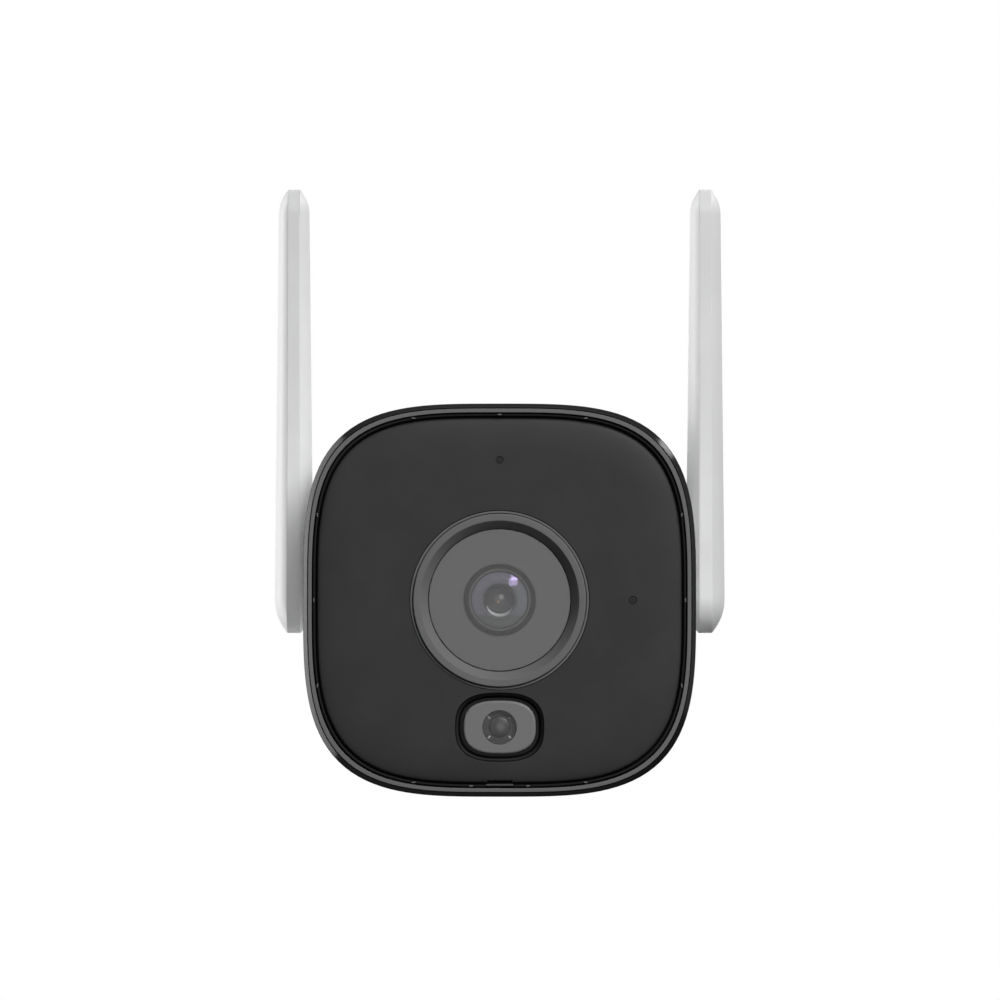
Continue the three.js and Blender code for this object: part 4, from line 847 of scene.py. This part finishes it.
def makeHousing(s):
    inner, innerBack = s.half - s.wall, s.backHalf - s.wall
    profile = [(s.half - s.chamfer, s.front), (s.half - 0.06, s.front + 0.08),
               (s.half, s.front + s.chamfer), (s.backHalf + 0.01, s.back - 0.4),
               (s.backHalf - 0.08, s.back - 0.08), (s.backHalf - 0.3, s.back), (innerBack, s.back),
               (inner, s.front), (s.half - s.chamfer, s.front)]
    housing = loft("mainHousing", profile, faceSteps, faceSquareness, closed=True)
    pad = loft("pad", [(s.half - s.wall / 2, s.bay - s.padReach),
                       (s.half - s.wall / 2, s.bay + s.padReach)], faceSteps, faceSquareness)
    combine(pad, [box("keep", at(-s.padHalf, s.bay - s.padReach, -outside),
                      at(s.padHalf, s.bay + s.padReach, s.padTop))], "INTERSECT")
    well = loft("well", [(s.half - s.wall / 2, s.speaker - s.wellReach - 0.5),
                         (s.half - s.wall / 2 - 0.4, s.speaker + s.wellReach + 0.5)], faceSteps,
                faceSquareness)
    combine(well, [bore(s.wellReach, 0, s.speaker, s.wellTop, 64, "keep")], "INTERSECT")
    combine(housing, [pad, well], "UNION")
    cuts = [box("cut", at(-s.coverWidth, s.bay - s.coverLength, -outside),
                at(s.coverWidth, s.bay + s.coverLength, s.bayFace)),
            box("cut", at(-s.boxHalf, s.bay - s.boxReach, -outside),
                at(s.boxHalf, s.bay + s.boxReach, s.boxTop)),
            bore(s.wellBore, 0, s.speaker, s.boreTop, 64, bottom=s.wellFloor),
            tube("cut", s.pivotHole, at(-s.across, s.pivot, 0), at(s.across, s.pivot, 0), 48, "X")]
    for i in range(s.slots):
        middle = s.speaker + s.pitch * (i - (s.slots - 1) / 2)
        slot = box("cut", at(-s.slotHalf, middle - s.slot, -outside),
                   at(s.slotHalf, middle + s.slot, s.padTop))
        softenSlot(slot, s.slot * 0.98)
        cuts.append(slot)
    combine(housing, cuts)
    softenEdges(housing, 0.12, 2, 50)
    return smooth(housing)


def softenSlot(slot, radius):               # rounds the slot's upright edges
    edit(slot, "DESELECT", "EDGE")
    leaveEdit()
    points = slot.data.vertices
    for edge in slot.data.edges:
        low, high = (points[i].co for i in edge.vertices)
        edge.select = abs(low.z - high.z) > 0.5 * abs(points[0].co.z - points[6].co.z) > 0
    bpy.ops.object.mode_set(mode="EDIT")
    bpy.ops.mesh.bevel(offset=radius * mm, segments=6, profile=0.5, affect="EDGES")
    leaveEdit()


coverSizes = Values({"width": 17.0, "length": 10.0, "top": -38.8, "place": 36.0, "screw": 15.4,
                     "head": 1.7, "headSeat": -39.5, "hole": 1.05, "holeTop": -35,
                     "nickHalf": 3, "nickTop": -39.8, "slope": 0.018354})


def makeCardCover(s, house):
    ends = (s.place - s.length - 1, s.place + s.length + 1)      # follows the housing's taper
    profile = [(house.half - s.slope * (end - house.front), end) for end in ends]
    cover = loft("cardCover", profile, 2 * faceSteps, faceSquareness)
    combine(cover, [box("keep", at(-s.width, s.place - s.length, -outside),
                        at(s.width, s.place + s.length, s.top))], "INTERSECT")
    cuts = [bore(s.head, side * s.screw, s.place, s.headSeat, 32) for side in (-1, 1)]
    cuts += [bore(s.hole, side * s.screw, s.place, s.holeTop, 24) for side in (-1, 1)]
    nick = box("cut", at(-s.nickHalf, s.place - s.length - 0.6, -outside),
               at(s.nickHalf, s.place - s.length + 0.5, s.nickTop))
    combine(cover, cuts + [nick])
    softenEdges(cover, 0.18, 3, 40)
    return smooth(cover)


capSizes = Values({"half": 39.75, "front": 86.5, "straight": 1.5, "flat": 30.55, "back": 101.5,
                   "wall": 2.2, "spigot": 37.25, "spigotInner": 35.45, "spigotEnd": 82.0, "screw": 23.0,
                   "headSeat": 93.0, "headBore": 3.1, "post": 3.9, "hub": 13.4, "cup": 11.2,
                   "hubEnd": 106.4, "cupFloor": 103.1, "gland": -23.5, "glandHole": 4.5,
                   "glandCut": (95, 104), "screwHole": 1.7})


def makeRearCap(s):
    dome = s.front + s.straight
    profile = [(s.half - 0.25, s.front), (s.half - 0.06, s.front + 0.08), (s.half, s.front + 0.25),
               (s.half, dome)]
    profile += arc(s.half, dome, s.flat, s.back, 18)
    cap = loft("rearCap", profile, faceSteps, faceSquareness)
    hollow = loft("hollow", [(s.spigotInner, s.front - 1), (s.spigotInner, s.front + 2)]
                  + arc(s.spigotInner, s.front + 2, s.flat - 2, s.back - s.wall, 10), 96, faceSquareness)
    combine(cap, [hollow])
    spigot = loft("spigot", [(s.spigot, s.spigotEnd), (s.spigot, s.front), (s.spigotInner, s.front),
                             (s.spigotInner, s.spigotEnd), (s.spigot, s.spigotEnd)], 96, faceSquareness,
                  closed=True)
    posts = [tube("post", s.post, at(x, s.spigotEnd, z), at(x, s.back - s.wall / 2, z), 32)
             for x, z in corners(s.screw)]
    hub = loft("hub", [(s.hub, s.back - 1), (s.hub, s.hubEnd - 0.2), (s.hub - 0.2, s.hubEnd)], 96)
    combine(cap, posts + [spigot, hub], "UNION")
    cuts = [drill(s.cup, 0, 0, s.cupFloor, s.hubEnd + 2, 96),
            drill(s.glandHole, 0, s.gland, *s.glandCut, 48)]
    for x, z in corners(s.screw):
        cuts += [drill(s.screwHole, x, z, s.spigotEnd - 2, s.back + 2),
                 drill(s.headBore, x, z, s.headSeat, s.back + 2, 48)]
    combine(cap, cuts)
    softenEdges(cap, 0.15, 2, 50)
    return smooth(cap)


glandSizes = Values({"bore": 3.2, "nut": 5.0, "nutFront": 97.5, "wallFront": 99.3, "body": 4.2,
                     "flange": 5.2, "back": 101.5, "end": 103.1, "place": -23.5})


def makeGland(s):
    profile = [(s.bore, s.nutFront), (s.nut, s.nutFront), (s.nut, s.wallFront), (s.body, s.wallFront),
               (s.body, s.back), (s.flange, s.back), (s.flange, s.end - 0.5)]
    profile += arc(s.flange, s.end - 0.5, s.flange - 0.6, s.end, 6)
    profile += [(s.bore + 0.5, s.end), (s.bore + 0.15, s.end - 0.12), (s.bore, s.end - 0.4),
                (s.bore, s.nutFront)]
    return smooth(loft("cableGland", profile, 64, centre=(0, s.place), closed=True))


dress(makeHousing(housingSizes), whitePlastic, "white_plastic", "main_housing")
dress(makeCardCover(coverSizes, housingSizes), whitePlastic, "white_plastic", "card_cover")
dress(makeRearCap(capSizes), whitePlastic, "white_plastic", "rear_cap")
dress(makeGland(glandSizes), rubberPaint, "black_plastic", "cable_gland")
print("housing made")


# Antennas

antennaSizes = Values({"base": 7.86, "tip": 5.6, "height": 88.8, "baseThick": 8.51, "tipThick": 6.60,
                       "baseBand": 2.84, "tipBand": 2.5, "power": 2.3, "split": -1.25, "hub": 5.2,
                       "across": 44.806, "place": 62.0, "rings": 22, "steps": 96, "shaft": 3.3,
                       "hollow": 4.4, "hollowFace": -2.6})


# One flank, from the middle of the edge band out to its crest, mirrored into a whole paddle about the pivot
def makePaddle(s):
    clearSelection()
    bpy.ops.mesh.primitive_circle_add(vertices=s.steps, radius=s.base * mm, rotation=(0, math.pi / 2, 0))
    paddle = named("paddle")
    edit(paddle)
    bpy.ops.transform.rotate(value=math.pi / s.steps, orient_axis="X", center_override=(0, 0, 0))
    tipCentre = (s.height - s.tip) * mm
    selectPoints(paddle, lambda point: point.co.z > 0)
    bpy.ops.transform.resize(value=(1, s.tip / s.base, s.tip / s.base), center_override=(0, 0, 0))
    bpy.ops.transform.translate(value=(0, 0, tipCentre))
    half, bulge = s.baseBand / 2, (s.baseThick - s.baseBand) / 2
    stops = [(0.0, half)]
    for i in range(1, s.rings + 1):
        inward = min((i / s.rings) ** 1.35, 0.996)
        stops.append((inward, half + bulge * (1 - (1 - inward) ** s.power)))
    level, share = 0.0, 1.0
    rings = {0.0: {point.index for point in paddle.data.vertices}}
    for inward, reach in stops:
        selectPoints(paddle, lambda point: point.index in rings[level])
        bpy.ops.mesh.extrude_edges_move(TRANSFORM_OT_translate={"value": (reach * mm - level, 0, 0)})
        leaveEdit()
        level = reach * mm
        rings[level] = {point.index for point in paddle.data.vertices if point.select}
        for top, middle in ((False, 0.0), (True, tipCentre)):
            selectPoints(paddle,
                         lambda point: point.index in rings[level] and (point.co.z > tipCentre / 2) == top)
            shrink = (1 - inward) / share
            bpy.ops.transform.resize(value=(1, shrink, shrink), center_override=(level, 0, middle))
            leaveEdit()
        share = 1 - inward
    selectPoints(paddle, lambda point: point.index in rings[level])
    bpy.ops.mesh.edge_face_add()
    leaveEdit()
    bandLean = (s.baseBand - s.tipBand) / 2 / s.height
    flankLean = (s.baseThick - s.tipThick) / 2 / s.height
    for reach, members in list(rings.items())[1:]:      # thins the paddle towards its tip
        swell = (reach / mm - half) / bulge
        lean = bandLean + (flankLean - bandLean) * swell
        selectPoints(paddle, lambda point: point.index in members)
        bpy.ops.transform.rotate(value=math.atan(lean), orient_axis="Y", center_override=(reach, 0, 0))
    leaveEdit()
    pick(paddle)
    bpy.ops.object.modifier_add(type="MIRROR")
    paddle.modifiers[-1].merge_threshold = weld
    bpy.ops.object.modifier_apply(modifier=paddle.modifiers[-1].name)
    settle(paddle)
    return paddle


def halfOf(paddle, name, split, keepInner):
    half = copyOf(paddle, name)
    edit(half)
    bpy.ops.mesh.bisect(plane_co=(split * mm, 0, 0), plane_no=(1, 0, 0), use_fill=True,
                        clear_outer=keepInner, clear_inner=not keepInner)
    leaveEdit()
    settle(half)
    return half


def foldRod(name, radius, start, end, steps=48):             # rod along the fold axis
    return tube(name, radius, Vector((start * mm, 0, 0)), Vector((end * mm, 0, 0)), steps, "X")


def makeAntennas(s):
    paddle = makePaddle(s)
    shell = halfOf(paddle, "shell", s.split, False)
    cover = halfOf(paddle, "cover", s.split, True)
    bpy.data.objects.remove(paddle)
    face = -s.baseThick / 2
    hub = foldRod("hub", s.hub, face, s.split, 64)
    softenEdges(hub, 0.2, 3, 50)
    combine(cover, [hub], "UNION")
    combine(cover, [foldRod("cut", s.shaft, -10, 10), foldRod("cut", s.hollow + 0.3, s.hollowFace, 0)])
    for part in (shell, cover):
        softenEdges(part, 0.12, 3, 14)
    for side, word in ((-1, "left"), (1, "right")):
        for part, kind in ((shell, "shell"), (cover, "cover")):
            twin = copyOf(part, word + "Antenna" + kind.title(), mirror=(-1, 1, 1) if side < 0 else None)
            edit(twin)
            bpy.ops.transform.translate(value=at(side * s.across, s.place, 0))
            leaveEdit()
            smooth(twin, 9)
            dress(twin, whitePlastic, "white_plastic", f"{word}_antenna_{kind}", body=word + "_antenna")
    for part in (shell, cover):
        bpy.data.objects.remove(part)


makeAntennas(antennaSizes)
print("antennas made")


# Bracket

plateSizes = Values({"radius": 33.0, "edge": 3.2, "round": 1.2, "crown": 7.4, "shoulder": 17.0,
                     "hub": 13.4, "hubEnd": 12.3, "cup": 11.2, "cupFloor": 9.0, "recessInner": 9.0,
                     "recessOuter": 29.5, "recess": 2.6, "screws": 3, "circle": 25.0, "hole": 2.3,
                     "head": 4.5, "seat": 3.4, "pillar": 5.8, "rib": 1.6})


def makeWallPlate(s):
    profile = [(s.recessOuter, wallDepth - s.recess), (s.recessOuter, wallDepth),
               (s.radius - 0.2, wallDepth), (s.radius, wallDepth - 0.2),
               (s.radius, wallDepth - s.edge + s.round)]
    profile += arc(s.radius, wallDepth - s.edge + s.round, s.radius - s.round, wallDepth - s.edge, 8)
    for i in range(1, 13):                  # low crown that runs up into the shoulder
        share = i / 12
        profile.append((s.radius - s.round + (s.shoulder - s.radius + s.round) * share,
                        wallDepth - s.edge - (s.crown - s.edge) * share ** 1.15))
    profile += [(s.hub + 0.8, wallDepth - s.crown - 0.12), (s.hub + 0.2, wallDepth - s.crown - 0.5),
                (s.hub, wallDepth - s.crown - 1.0), (s.hub, wallDepth - s.hubEnd + 0.2),
                (s.hub - 0.2, wallDepth - s.hubEnd), (s.cup, wallDepth - s.hubEnd),
                (s.cup, wallDepth - s.cupFloor)]
    plate = loft("wallPlate", profile, 128)
    core = loft("core", [(s.recessInner, wallDepth - s.cupFloor + 1), (s.recessInner, wallDepth)], 64)
    added = [core]
    cuts = []
    for i in range(s.screws):
        angle = math.pi / 2 + i / s.screws * math.pi * 2
        x, z = math.cos(angle) * s.circle, math.sin(angle) * s.circle
        added.append(tube("pillar", s.pillar, fromWall(x, 0, z), fromWall(x, s.seat, z), 32))
        cuts.append(tube("cut", s.hole, fromWall(x, -2, z), fromWall(x, 12, z), 32))
        cuts.append(tube("cut", s.head, fromWall(x, s.seat - 0.6, z), fromWall(x, 12, z), 48))
        rib = box("rib", fromWall(s.recessInner - 1, s.recess + 0.5, -s.rib / 2),
                  fromWall(s.recessOuter + 0.5, 0.25, s.rib / 2))
        edit(rib)
        bpy.ops.transform.rotate(value=angle + math.pi / s.screws, orient_axis="Y",
                                 center_override=(0, 0, 0))
        leaveEdit()
        added.append(rib)
    combine(plate, added, "UNION")
    combine(plate, cuts)
    softenEdges(plate, 0.15, 2, 50)
    return smooth(plate)


swivelSizes = Values({"bore": 8.2, "lip": 2.0, "skirt": 4.6, "outer": 15.5, "inner": 13.8, "cupDepth": 3.3,
                      "gap": 0.3, "grips": 10, "dip": 0.5, "grip": 5.6, "round": 1.0, "rollAt": 16.9})


# Knurled ring about the cup's floor; towards is +1 where its back looks at the wall
def makeSwivelRing(name, s, floorDepth, towards):
    def deep(value):
        return floorDepth + value * towards
    lip = -s.cupDepth - s.gap
    front, back = lip - s.lip, s.skirt - s.cupDepth
    profile = [(s.bore, deep(front + 0.2)), (s.bore + 0.2, deep(front)), (s.outer - s.round, deep(front))]
    for i in range(1, 7):
        turn = i / 6 * math.pi / 2
        profile.append((s.outer - s.round * (1 - math.sin(turn)),
                        deep(front + s.round * (1 - math.cos(turn)))))
    profile += [(s.outer, deep(back - 0.3)), (s.outer - 0.1, deep(back - 0.08)),
                (s.outer - 0.3, deep(back)), (s.inner, deep(back)), (s.inner, deep(lip)),
                (s.bore, deep(lip)), (s.bore, deep(front + 0.2))]
    ring = loft(name, profile, 160, closed=True)
    grips = []
    for i in range(s.grips):                # shallow finger grips
        angle = (i + 0.5) / s.grips * math.pi * 2
        reach = s.outer - s.dip + s.grip
        x, z = math.cos(angle) * reach, math.sin(angle) * reach
        low, high = sorted((deep(front - 1), deep(back + 1)))
        grips.append(tube("grip", s.grip, at(x, low, z), at(x, high, z), 64))
    combine(ring, grips)
    softenEdges(ring, 0.2, 3, 25)
    return smooth(ring)


armSizes = Values({"half": 9.3, "radius": 9.5, "squareness": 4.0, "start": 15.0, "neck": 7.8,
                   "neckEnd": 30.7, "flangeFront": 37.7, "flangeBack": 40.7, "flange": 10.9,
                   "slotHalf": 4.3, "slot": 7.6, "bolt": 2.7, "head": 4.6, "headSeat": 6.3,
                   "nutSeat": 6.9, "across": 12, "past": 14})


def makePanArm(s):
    fork = loft("panArm", [(s.half, s.radius, pivotDepth - s.radius - 2),
                           (s.half, s.radius, pivotDepth + s.start)], 96, s.squareness, closed=True)
    neck = loft("neck", [(s.neck, pivotDepth + s.neckEnd), (s.neck, pivotDepth + s.flangeFront),
                         (s.flange, pivotDepth + s.flangeFront), (s.flange, pivotDepth + s.flangeBack)],
                96, closed=True)
    arm = gather("panArm", [fork, neck])
    start, end = pivotAt.y + s.start * mm, pivotAt.y + s.neckEnd * mm
    selectPoints(arm, lambda point: min(abs(point.co.y - start), abs(point.co.y - end)) < weld)
    bpy.ops.mesh.bridge_edge_loops(number_cuts=10, smoothness=1.0, interpolation="SURFACE")
    bpy.ops.mesh.select_all(action="SELECT")
    bpy.ops.mesh.fill_holes(sides=0)
    settle(arm)
    tongue = crossRod("tongue", s.radius, -s.across, s.across, 96)
    selectPoints(tongue, lambda point: point.co.y > pivotAt.y + weld)
    bpy.ops.transform.translate(value=(0, 0.06, 0))
    leaveEdit()
    combine(arm, [stretchTall(tongue)], "INTERSECT")
    slot = crossRod("slot", s.slot, -s.slotHalf, s.slotHalf, 96)
    front = box("front", fromPivot(-s.slotHalf, -s.past, -s.past), fromPivot(s.slotHalf, 0, s.slot))
    under = box("under", fromPivot(-s.slotHalf, -1, -s.past), fromPivot(s.slotHalf, s.slot, 0))
    combine(slot, [front, under], "UNION")
    combine(arm, [slot, crossRod("cut", s.bolt, -s.across, s.across, 32),
                  crossRod("cut", s.head, s.headSeat, s.across),
                  crossRod("cut", s.head, -s.across, -s.nutSeat, 6)])
    softenEdges(arm, 0.35, 3, 40)
    return smooth(arm)


def stretchTall(tongue):                    # past the fork it is taller, so that it leaves the flange
    selectPoints(tongue, lambda point: point.co.y > pivotAt.y + 0.02)
    bpy.ops.transform.resize(value=(1, 1, 2), center_override=pivotAt)
    leaveEdit()
    return tongue


linkSizes = Values({"half": 4.0, "radius": 7.2, "neckStart": 9.8, "neck": 7.8, "flangeBack": 13.6,
                    "flangeFront": 16.6, "flange": 10.9, "bolt": 2.7, "across": 6})


def makeTiltLink(s):
    link = loft("tiltLink", [(s.neck, pivotDepth - s.neckStart), (s.neck, pivotDepth - s.flangeBack),
                             (s.flange, pivotDepth - s.flangeBack),
                             (s.flange, pivotDepth - s.flangeFront)], 96)
    tongue = crossRod("tongue", s.radius, -s.half, s.half, 96)
    selectPoints(tongue, lambda point: point.co.y < pivotAt.y - weld)
    bpy.ops.transform.translate(value=(0, -(s.neckStart + 1) * mm, 0))
    leaveEdit()
    selectPoints(tongue, lambda point: point.co.y < pivotAt.y - (s.neckStart + 1) * mm - weld)
    bpy.ops.transform.resize(value=(1, 0, 1), center_override=fromPivot(0, -s.neckStart - 1, 0))
    leaveEdit()
    combine(link, [tongue], "UNION")
    combine(link, [crossRod("cut", s.bolt, -s.across, s.across, 32)])
    softenEdges(link, 0.25, 3, 40)
    return smooth(link)


boltSizes = Values({"shank": 2.45, "head": 4.2, "seat": 6.3, "end": 9.3, "socket": 2.0, "socketDepth": 1.6,
                    "nutThick": 2.4, "nutBore": 2.7, "nutFace": -6, "past": 12})


def makeTiltBolt(s):
    head = crossRod("tiltBolt", s.head, s.seat, s.end, 64)
    softenEdges(head, 0.4, 4, 50)
    socket = crossRod("cut", s.socket, s.end - s.socketDepth, s.past, 6)
    combine(head, [crossRod("shank", s.shank, -s.end, s.seat + 0.5)], "UNION")
    combine(head, [socket])
    softenEdges(head, 0.12, 2, 50)
    return smooth(head)


def makeTiltNut(s):
    nut = crossRod("tiltNut", s.head, -s.end, s.nutThick - s.end, 6)
    combine(nut, [crossRod("cut", s.nutBore, -s.past, s.nutFace)])
    softenEdges(nut, 0.25, 3, 40)
    return smooth(nut)


dress(makeWallPlate(plateSizes), whitePlastic, "white_plastic", "wall_plate", body="wall")
dress(makeSwivelRing("panRing", swivelSizes, wallDepth - plateSizes.cupFloor, 1), whitePlastic,
      "white_plastic", "pan_ring", body="pan_ring")
dress(makeSwivelRing("rollRing", swivelSizes, pivotDepth - swivelSizes.rollAt, -1), whitePlastic,
      "white_plastic", "roll_ring", body="roll_ring")
dress(makePanArm(armSizes), whitePlastic, "white_plastic", "pan_arm", body="arm")
dress(makeTiltLink(linkSizes), whitePlastic, "white_plastic", "tilt_link", body="link")
dress(makeTiltBolt(boltSizes), steelPaint, "steel", "tilt_bolt", body="arm")
dress(makeTiltNut(boltSizes), steelPaint, "steel", "tilt_nut", body="arm")
print("bracket made")


# Screws

screwSizes = Values({"head": 2.7, "headTop": 2.0, "shank": 1.45, "length": 22.0, "socket": 1.3,
                     "socketDepth": 1.1, "seat": 93.0, "place": 23.0})


def makeRearScrews(s):
    profile = [(s.shank * 0.5, s.seat - s.length), (s.shank, s.seat - s.length + 1.5), (s.shank, s.seat),
               (s.head - 0.1, s.seat), (s.head, s.seat + 0.1), (s.head, s.seat + s.headTop - 0.7)]
    profile += arc(s.head, s.seat + s.headTop - 0.7, s.head - 0.9, s.seat + s.headTop, 6)
    screw = loft("rearScrew", profile, 48)
    combine(screw, [drill(s.socket, 0, 0, s.seat + s.headTop - s.socketDepth, s.seat + s.headTop + 1, 6)])
    softenEdges(screw, 0.08, 2, 50)
    smooth(screw)
    for number, (x, z) in enumerate([(1, 1), (-1, 1), (-1, -1), (1, -1)], 1):
        twin = copyOf(screw, f"rearScrew{number}", (x * s.place * mm, 0, z * s.place * mm))
        dress(twin, steelPaint, "steel", f"rear_screw_{number}")
    bpy.data.objects.remove(screw)


coverScrewSizes = Values({"head": 1.4, "headTop": 0.7, "shank": 0.8, "length": 4.0, "seat": -39.5,
                          "place": 15.4, "depth": 36.0, "slot": 0.8, "slotWidth": 0.18})


def makeCoverScrews(s):
    low, high = at(0, s.depth, s.seat - s.headTop), at(0, s.depth, s.seat)
    screw = tube("coverScrew", s.head, low, high, 40, "Z")
    softenEdges(screw, 0.22, 4, 50)
    tip = at(0, s.depth, s.seat + s.length)
    shank = tube("shank", s.shank, high - Vector((0, 0, 0.0002)), tip, 24, "Z")
    combine(screw, [shank], "UNION")
    for across, along in ((s.slot, s.slotWidth), (s.slotWidth, s.slot)):    # the cross in its head
        foot, top = Vector((-across, -along, -0.3)) * mm, Vector((across, along, 0.4)) * mm
        combine(screw, [box("cut", low + foot, low + top)])
    smooth(screw)
    for number, side in enumerate((1, -1), 1):
        twin = copyOf(screw, f"coverScrew{number}", (side * s.place * mm, 0, 0))
        dress(twin, steelPaint, "steel", f"card_cover_screw_{number}")
    bpy.data.objects.remove(screw)


makeRearScrews(screwSizes)
makeCoverScrews(coverScrewSizes)
print("screws made")


# Nodes that keep their CAD shape

finishes = [
    (steelPaint, ["front_screw_1", "front_screw_2", "front_screw_3", "front_screw_4", "main_board_screw_1",
                  "main_board_screw_2"]),
    (aluminiumPaint, ["heat_sink"]),
    (rubberPaint, ["front_seal", "rear_seal", "card_cover_seal"]),
    (boardPaint, ["main_board", "sensor_board", "lamp_board", "card_board", "left_antenna_board",
                  "right_antenna_board"]),
    (blackPlastic, ["microphone", "lens_holder", "inner_frame", "speaker", "reset_button", "processor",
                    "image_sensor", "status_light_pipe", "left_antenna_spindle", "right_antenna_spindle"]),
    (lensGlass, ["ir_filter"]),
    (brushedSteel("copperCoil", (0.55, 0.28, 0.12)), ["filter_solenoid"]),
    (mouldedPlastic("emitter", emitterLook), ["lamp_led"]),
]
for paint, names in finishes:
    for name in names:
        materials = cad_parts[name].data.materials
        materials.clear()
        materials.append(paint.material)
print("inner pieces finished")


# Studio

lampSet = {                                 # bearing and height in degrees, distance, size and power
    "key": {"bearing": 30, "height": 36, "distance": 1.3, "size": (0.7, 0.7), "power": 15.1},
    "spot": {"bearing": 15.5, "height": 19.5, "distance": 1.4, "size": (0.21, 0.21), "power": 1.1},
    "leftStrip": {"bearing": -124, "height": 2, "distance": 0.85, "size": (0.25, 1.28), "power": 10.4},
    "topRight": {"bearing": 129, "height": 32, "distance": 1.0, "size": (0.13, 0.165), "power": 2.0},
}
roomSizes = Values({"floor": (0, -0.08, -0.7), "floorHalf": 2.2, "pale": 0.88, "mirrored": 0.25,
                    "world": 0.035, "aim": (0, -0.16, 0),
                    "dark": (0.20, 0.20, 0.20), "light": (0.22, 0.22, 0.22)})


def seenDirectly(tree, mirrored):           # 1 for camera rays, mirrored for glossy and transmission rays
    path = tree.nodes.new("ShaderNodeLightPath")
    seen = path.outputs["Is Camera Ray"]
    for other in ("Is Glossy Ray", "Is Transmission Ray"):
        scaled = tree.nodes.new("ShaderNodeMath")
        scaled.operation = "MULTIPLY"
        tree.links.new(path.outputs[other], scaled.inputs[0])
        scaled.inputs[1].default_value = mirrored
        larger = tree.nodes.new("ShaderNodeMath")
        larger.operation = "MAXIMUM"
        tree.links.new(seen, larger.inputs[0])
        tree.links.new(scaled.outputs[0], larger.inputs[1])
        seen = larger.outputs[0]
    return seen


def makeStudio(lamps, room):
    for name, lamp in lamps.items():
        clearSelection()
        bearing, height = math.radians(lamp["bearing"]), math.radians(lamp["height"])
        aim = Vector(room.aim)
        place = aim + lamp["distance"] * Vector((math.sin(bearing) * math.cos(height),
                                                 -math.cos(bearing) * math.cos(height), math.sin(height)))
        bpy.ops.object.light_add(type="AREA", location=place)
        light = bpy.context.object
        light.name = name
        light.data.shape = "RECTANGLE"
        light.data.size, light.data.size_y = lamp["size"]
        light.data.energy = lamp["power"]
        light.rotation_euler = (aim - place).to_track_quat("-Z", "Y").to_euler()
        light.visible_camera = False
    clearSelection()
    bpy.ops.mesh.primitive_grid_add(x_subdivisions=8, y_subdivisions=8, size=2 * room.floorHalf,
                                    location=room.floor)
    floor = named("floor")
    paint = Paint("paleFloor", Roughness=0.85, EmissionStrength=1.0)
    cloud = paint.noise(3.0, 3)
    seen = Wire(paint, seenDirectly(paint.tree, room.mirrored))
    paint.feed(BaseColor=paint.mix(cloud, room.dark, room.light),
               EmissionColor=paint.mix(seen, (0, 0, 0), (room.pale,) * 3),
               Alpha=1 - paint.node("NewGeometry", output=6))     # seen through from below
    floor.data.materials.append(paint.material)
    world = bpy.data.worlds.new("studio")
    world.use_nodes = True
    bpy.context.scene.world = world
    tree = world.node_tree
    background = tree.nodes["Background"]
    strength = tree.nodes.new("ShaderNodeMapRange")
    tree.links.new(seenDirectly(tree, 1), strength.inputs["Value"])
    strength.inputs["To Min"].default_value = room.world
    strength.inputs["To Max"].default_value = 1.0
    background.inputs["Color"].default_value = (1, 1, 1, 1)
    tree.links.new(strength.outputs[0], background.inputs["Strength"])


cameraSizes = Values({"place": (0.00008, faceFront - 1.8, 0.02114), "lens": 307.4, "sensor": 36,
                      "clip": (0.05, 20)})


def makeCamera(s):
    clearSelection()
    bpy.ops.object.camera_add(location=s.place, rotation=(math.pi / 2, 0, 0))
    camera = bpy.context.object
    camera.data.sensor_width, camera.data.lens = s.sensor, s.lens
    camera.data.clip_start, camera.data.clip_end = s.clip
    bpy.context.scene.camera = camera


makeStudio(lampSet, roomSizes)
makeCamera(cameraSizes)
bpy.context.scene.view_settings.view_transform = "Standard"
print("studio made")
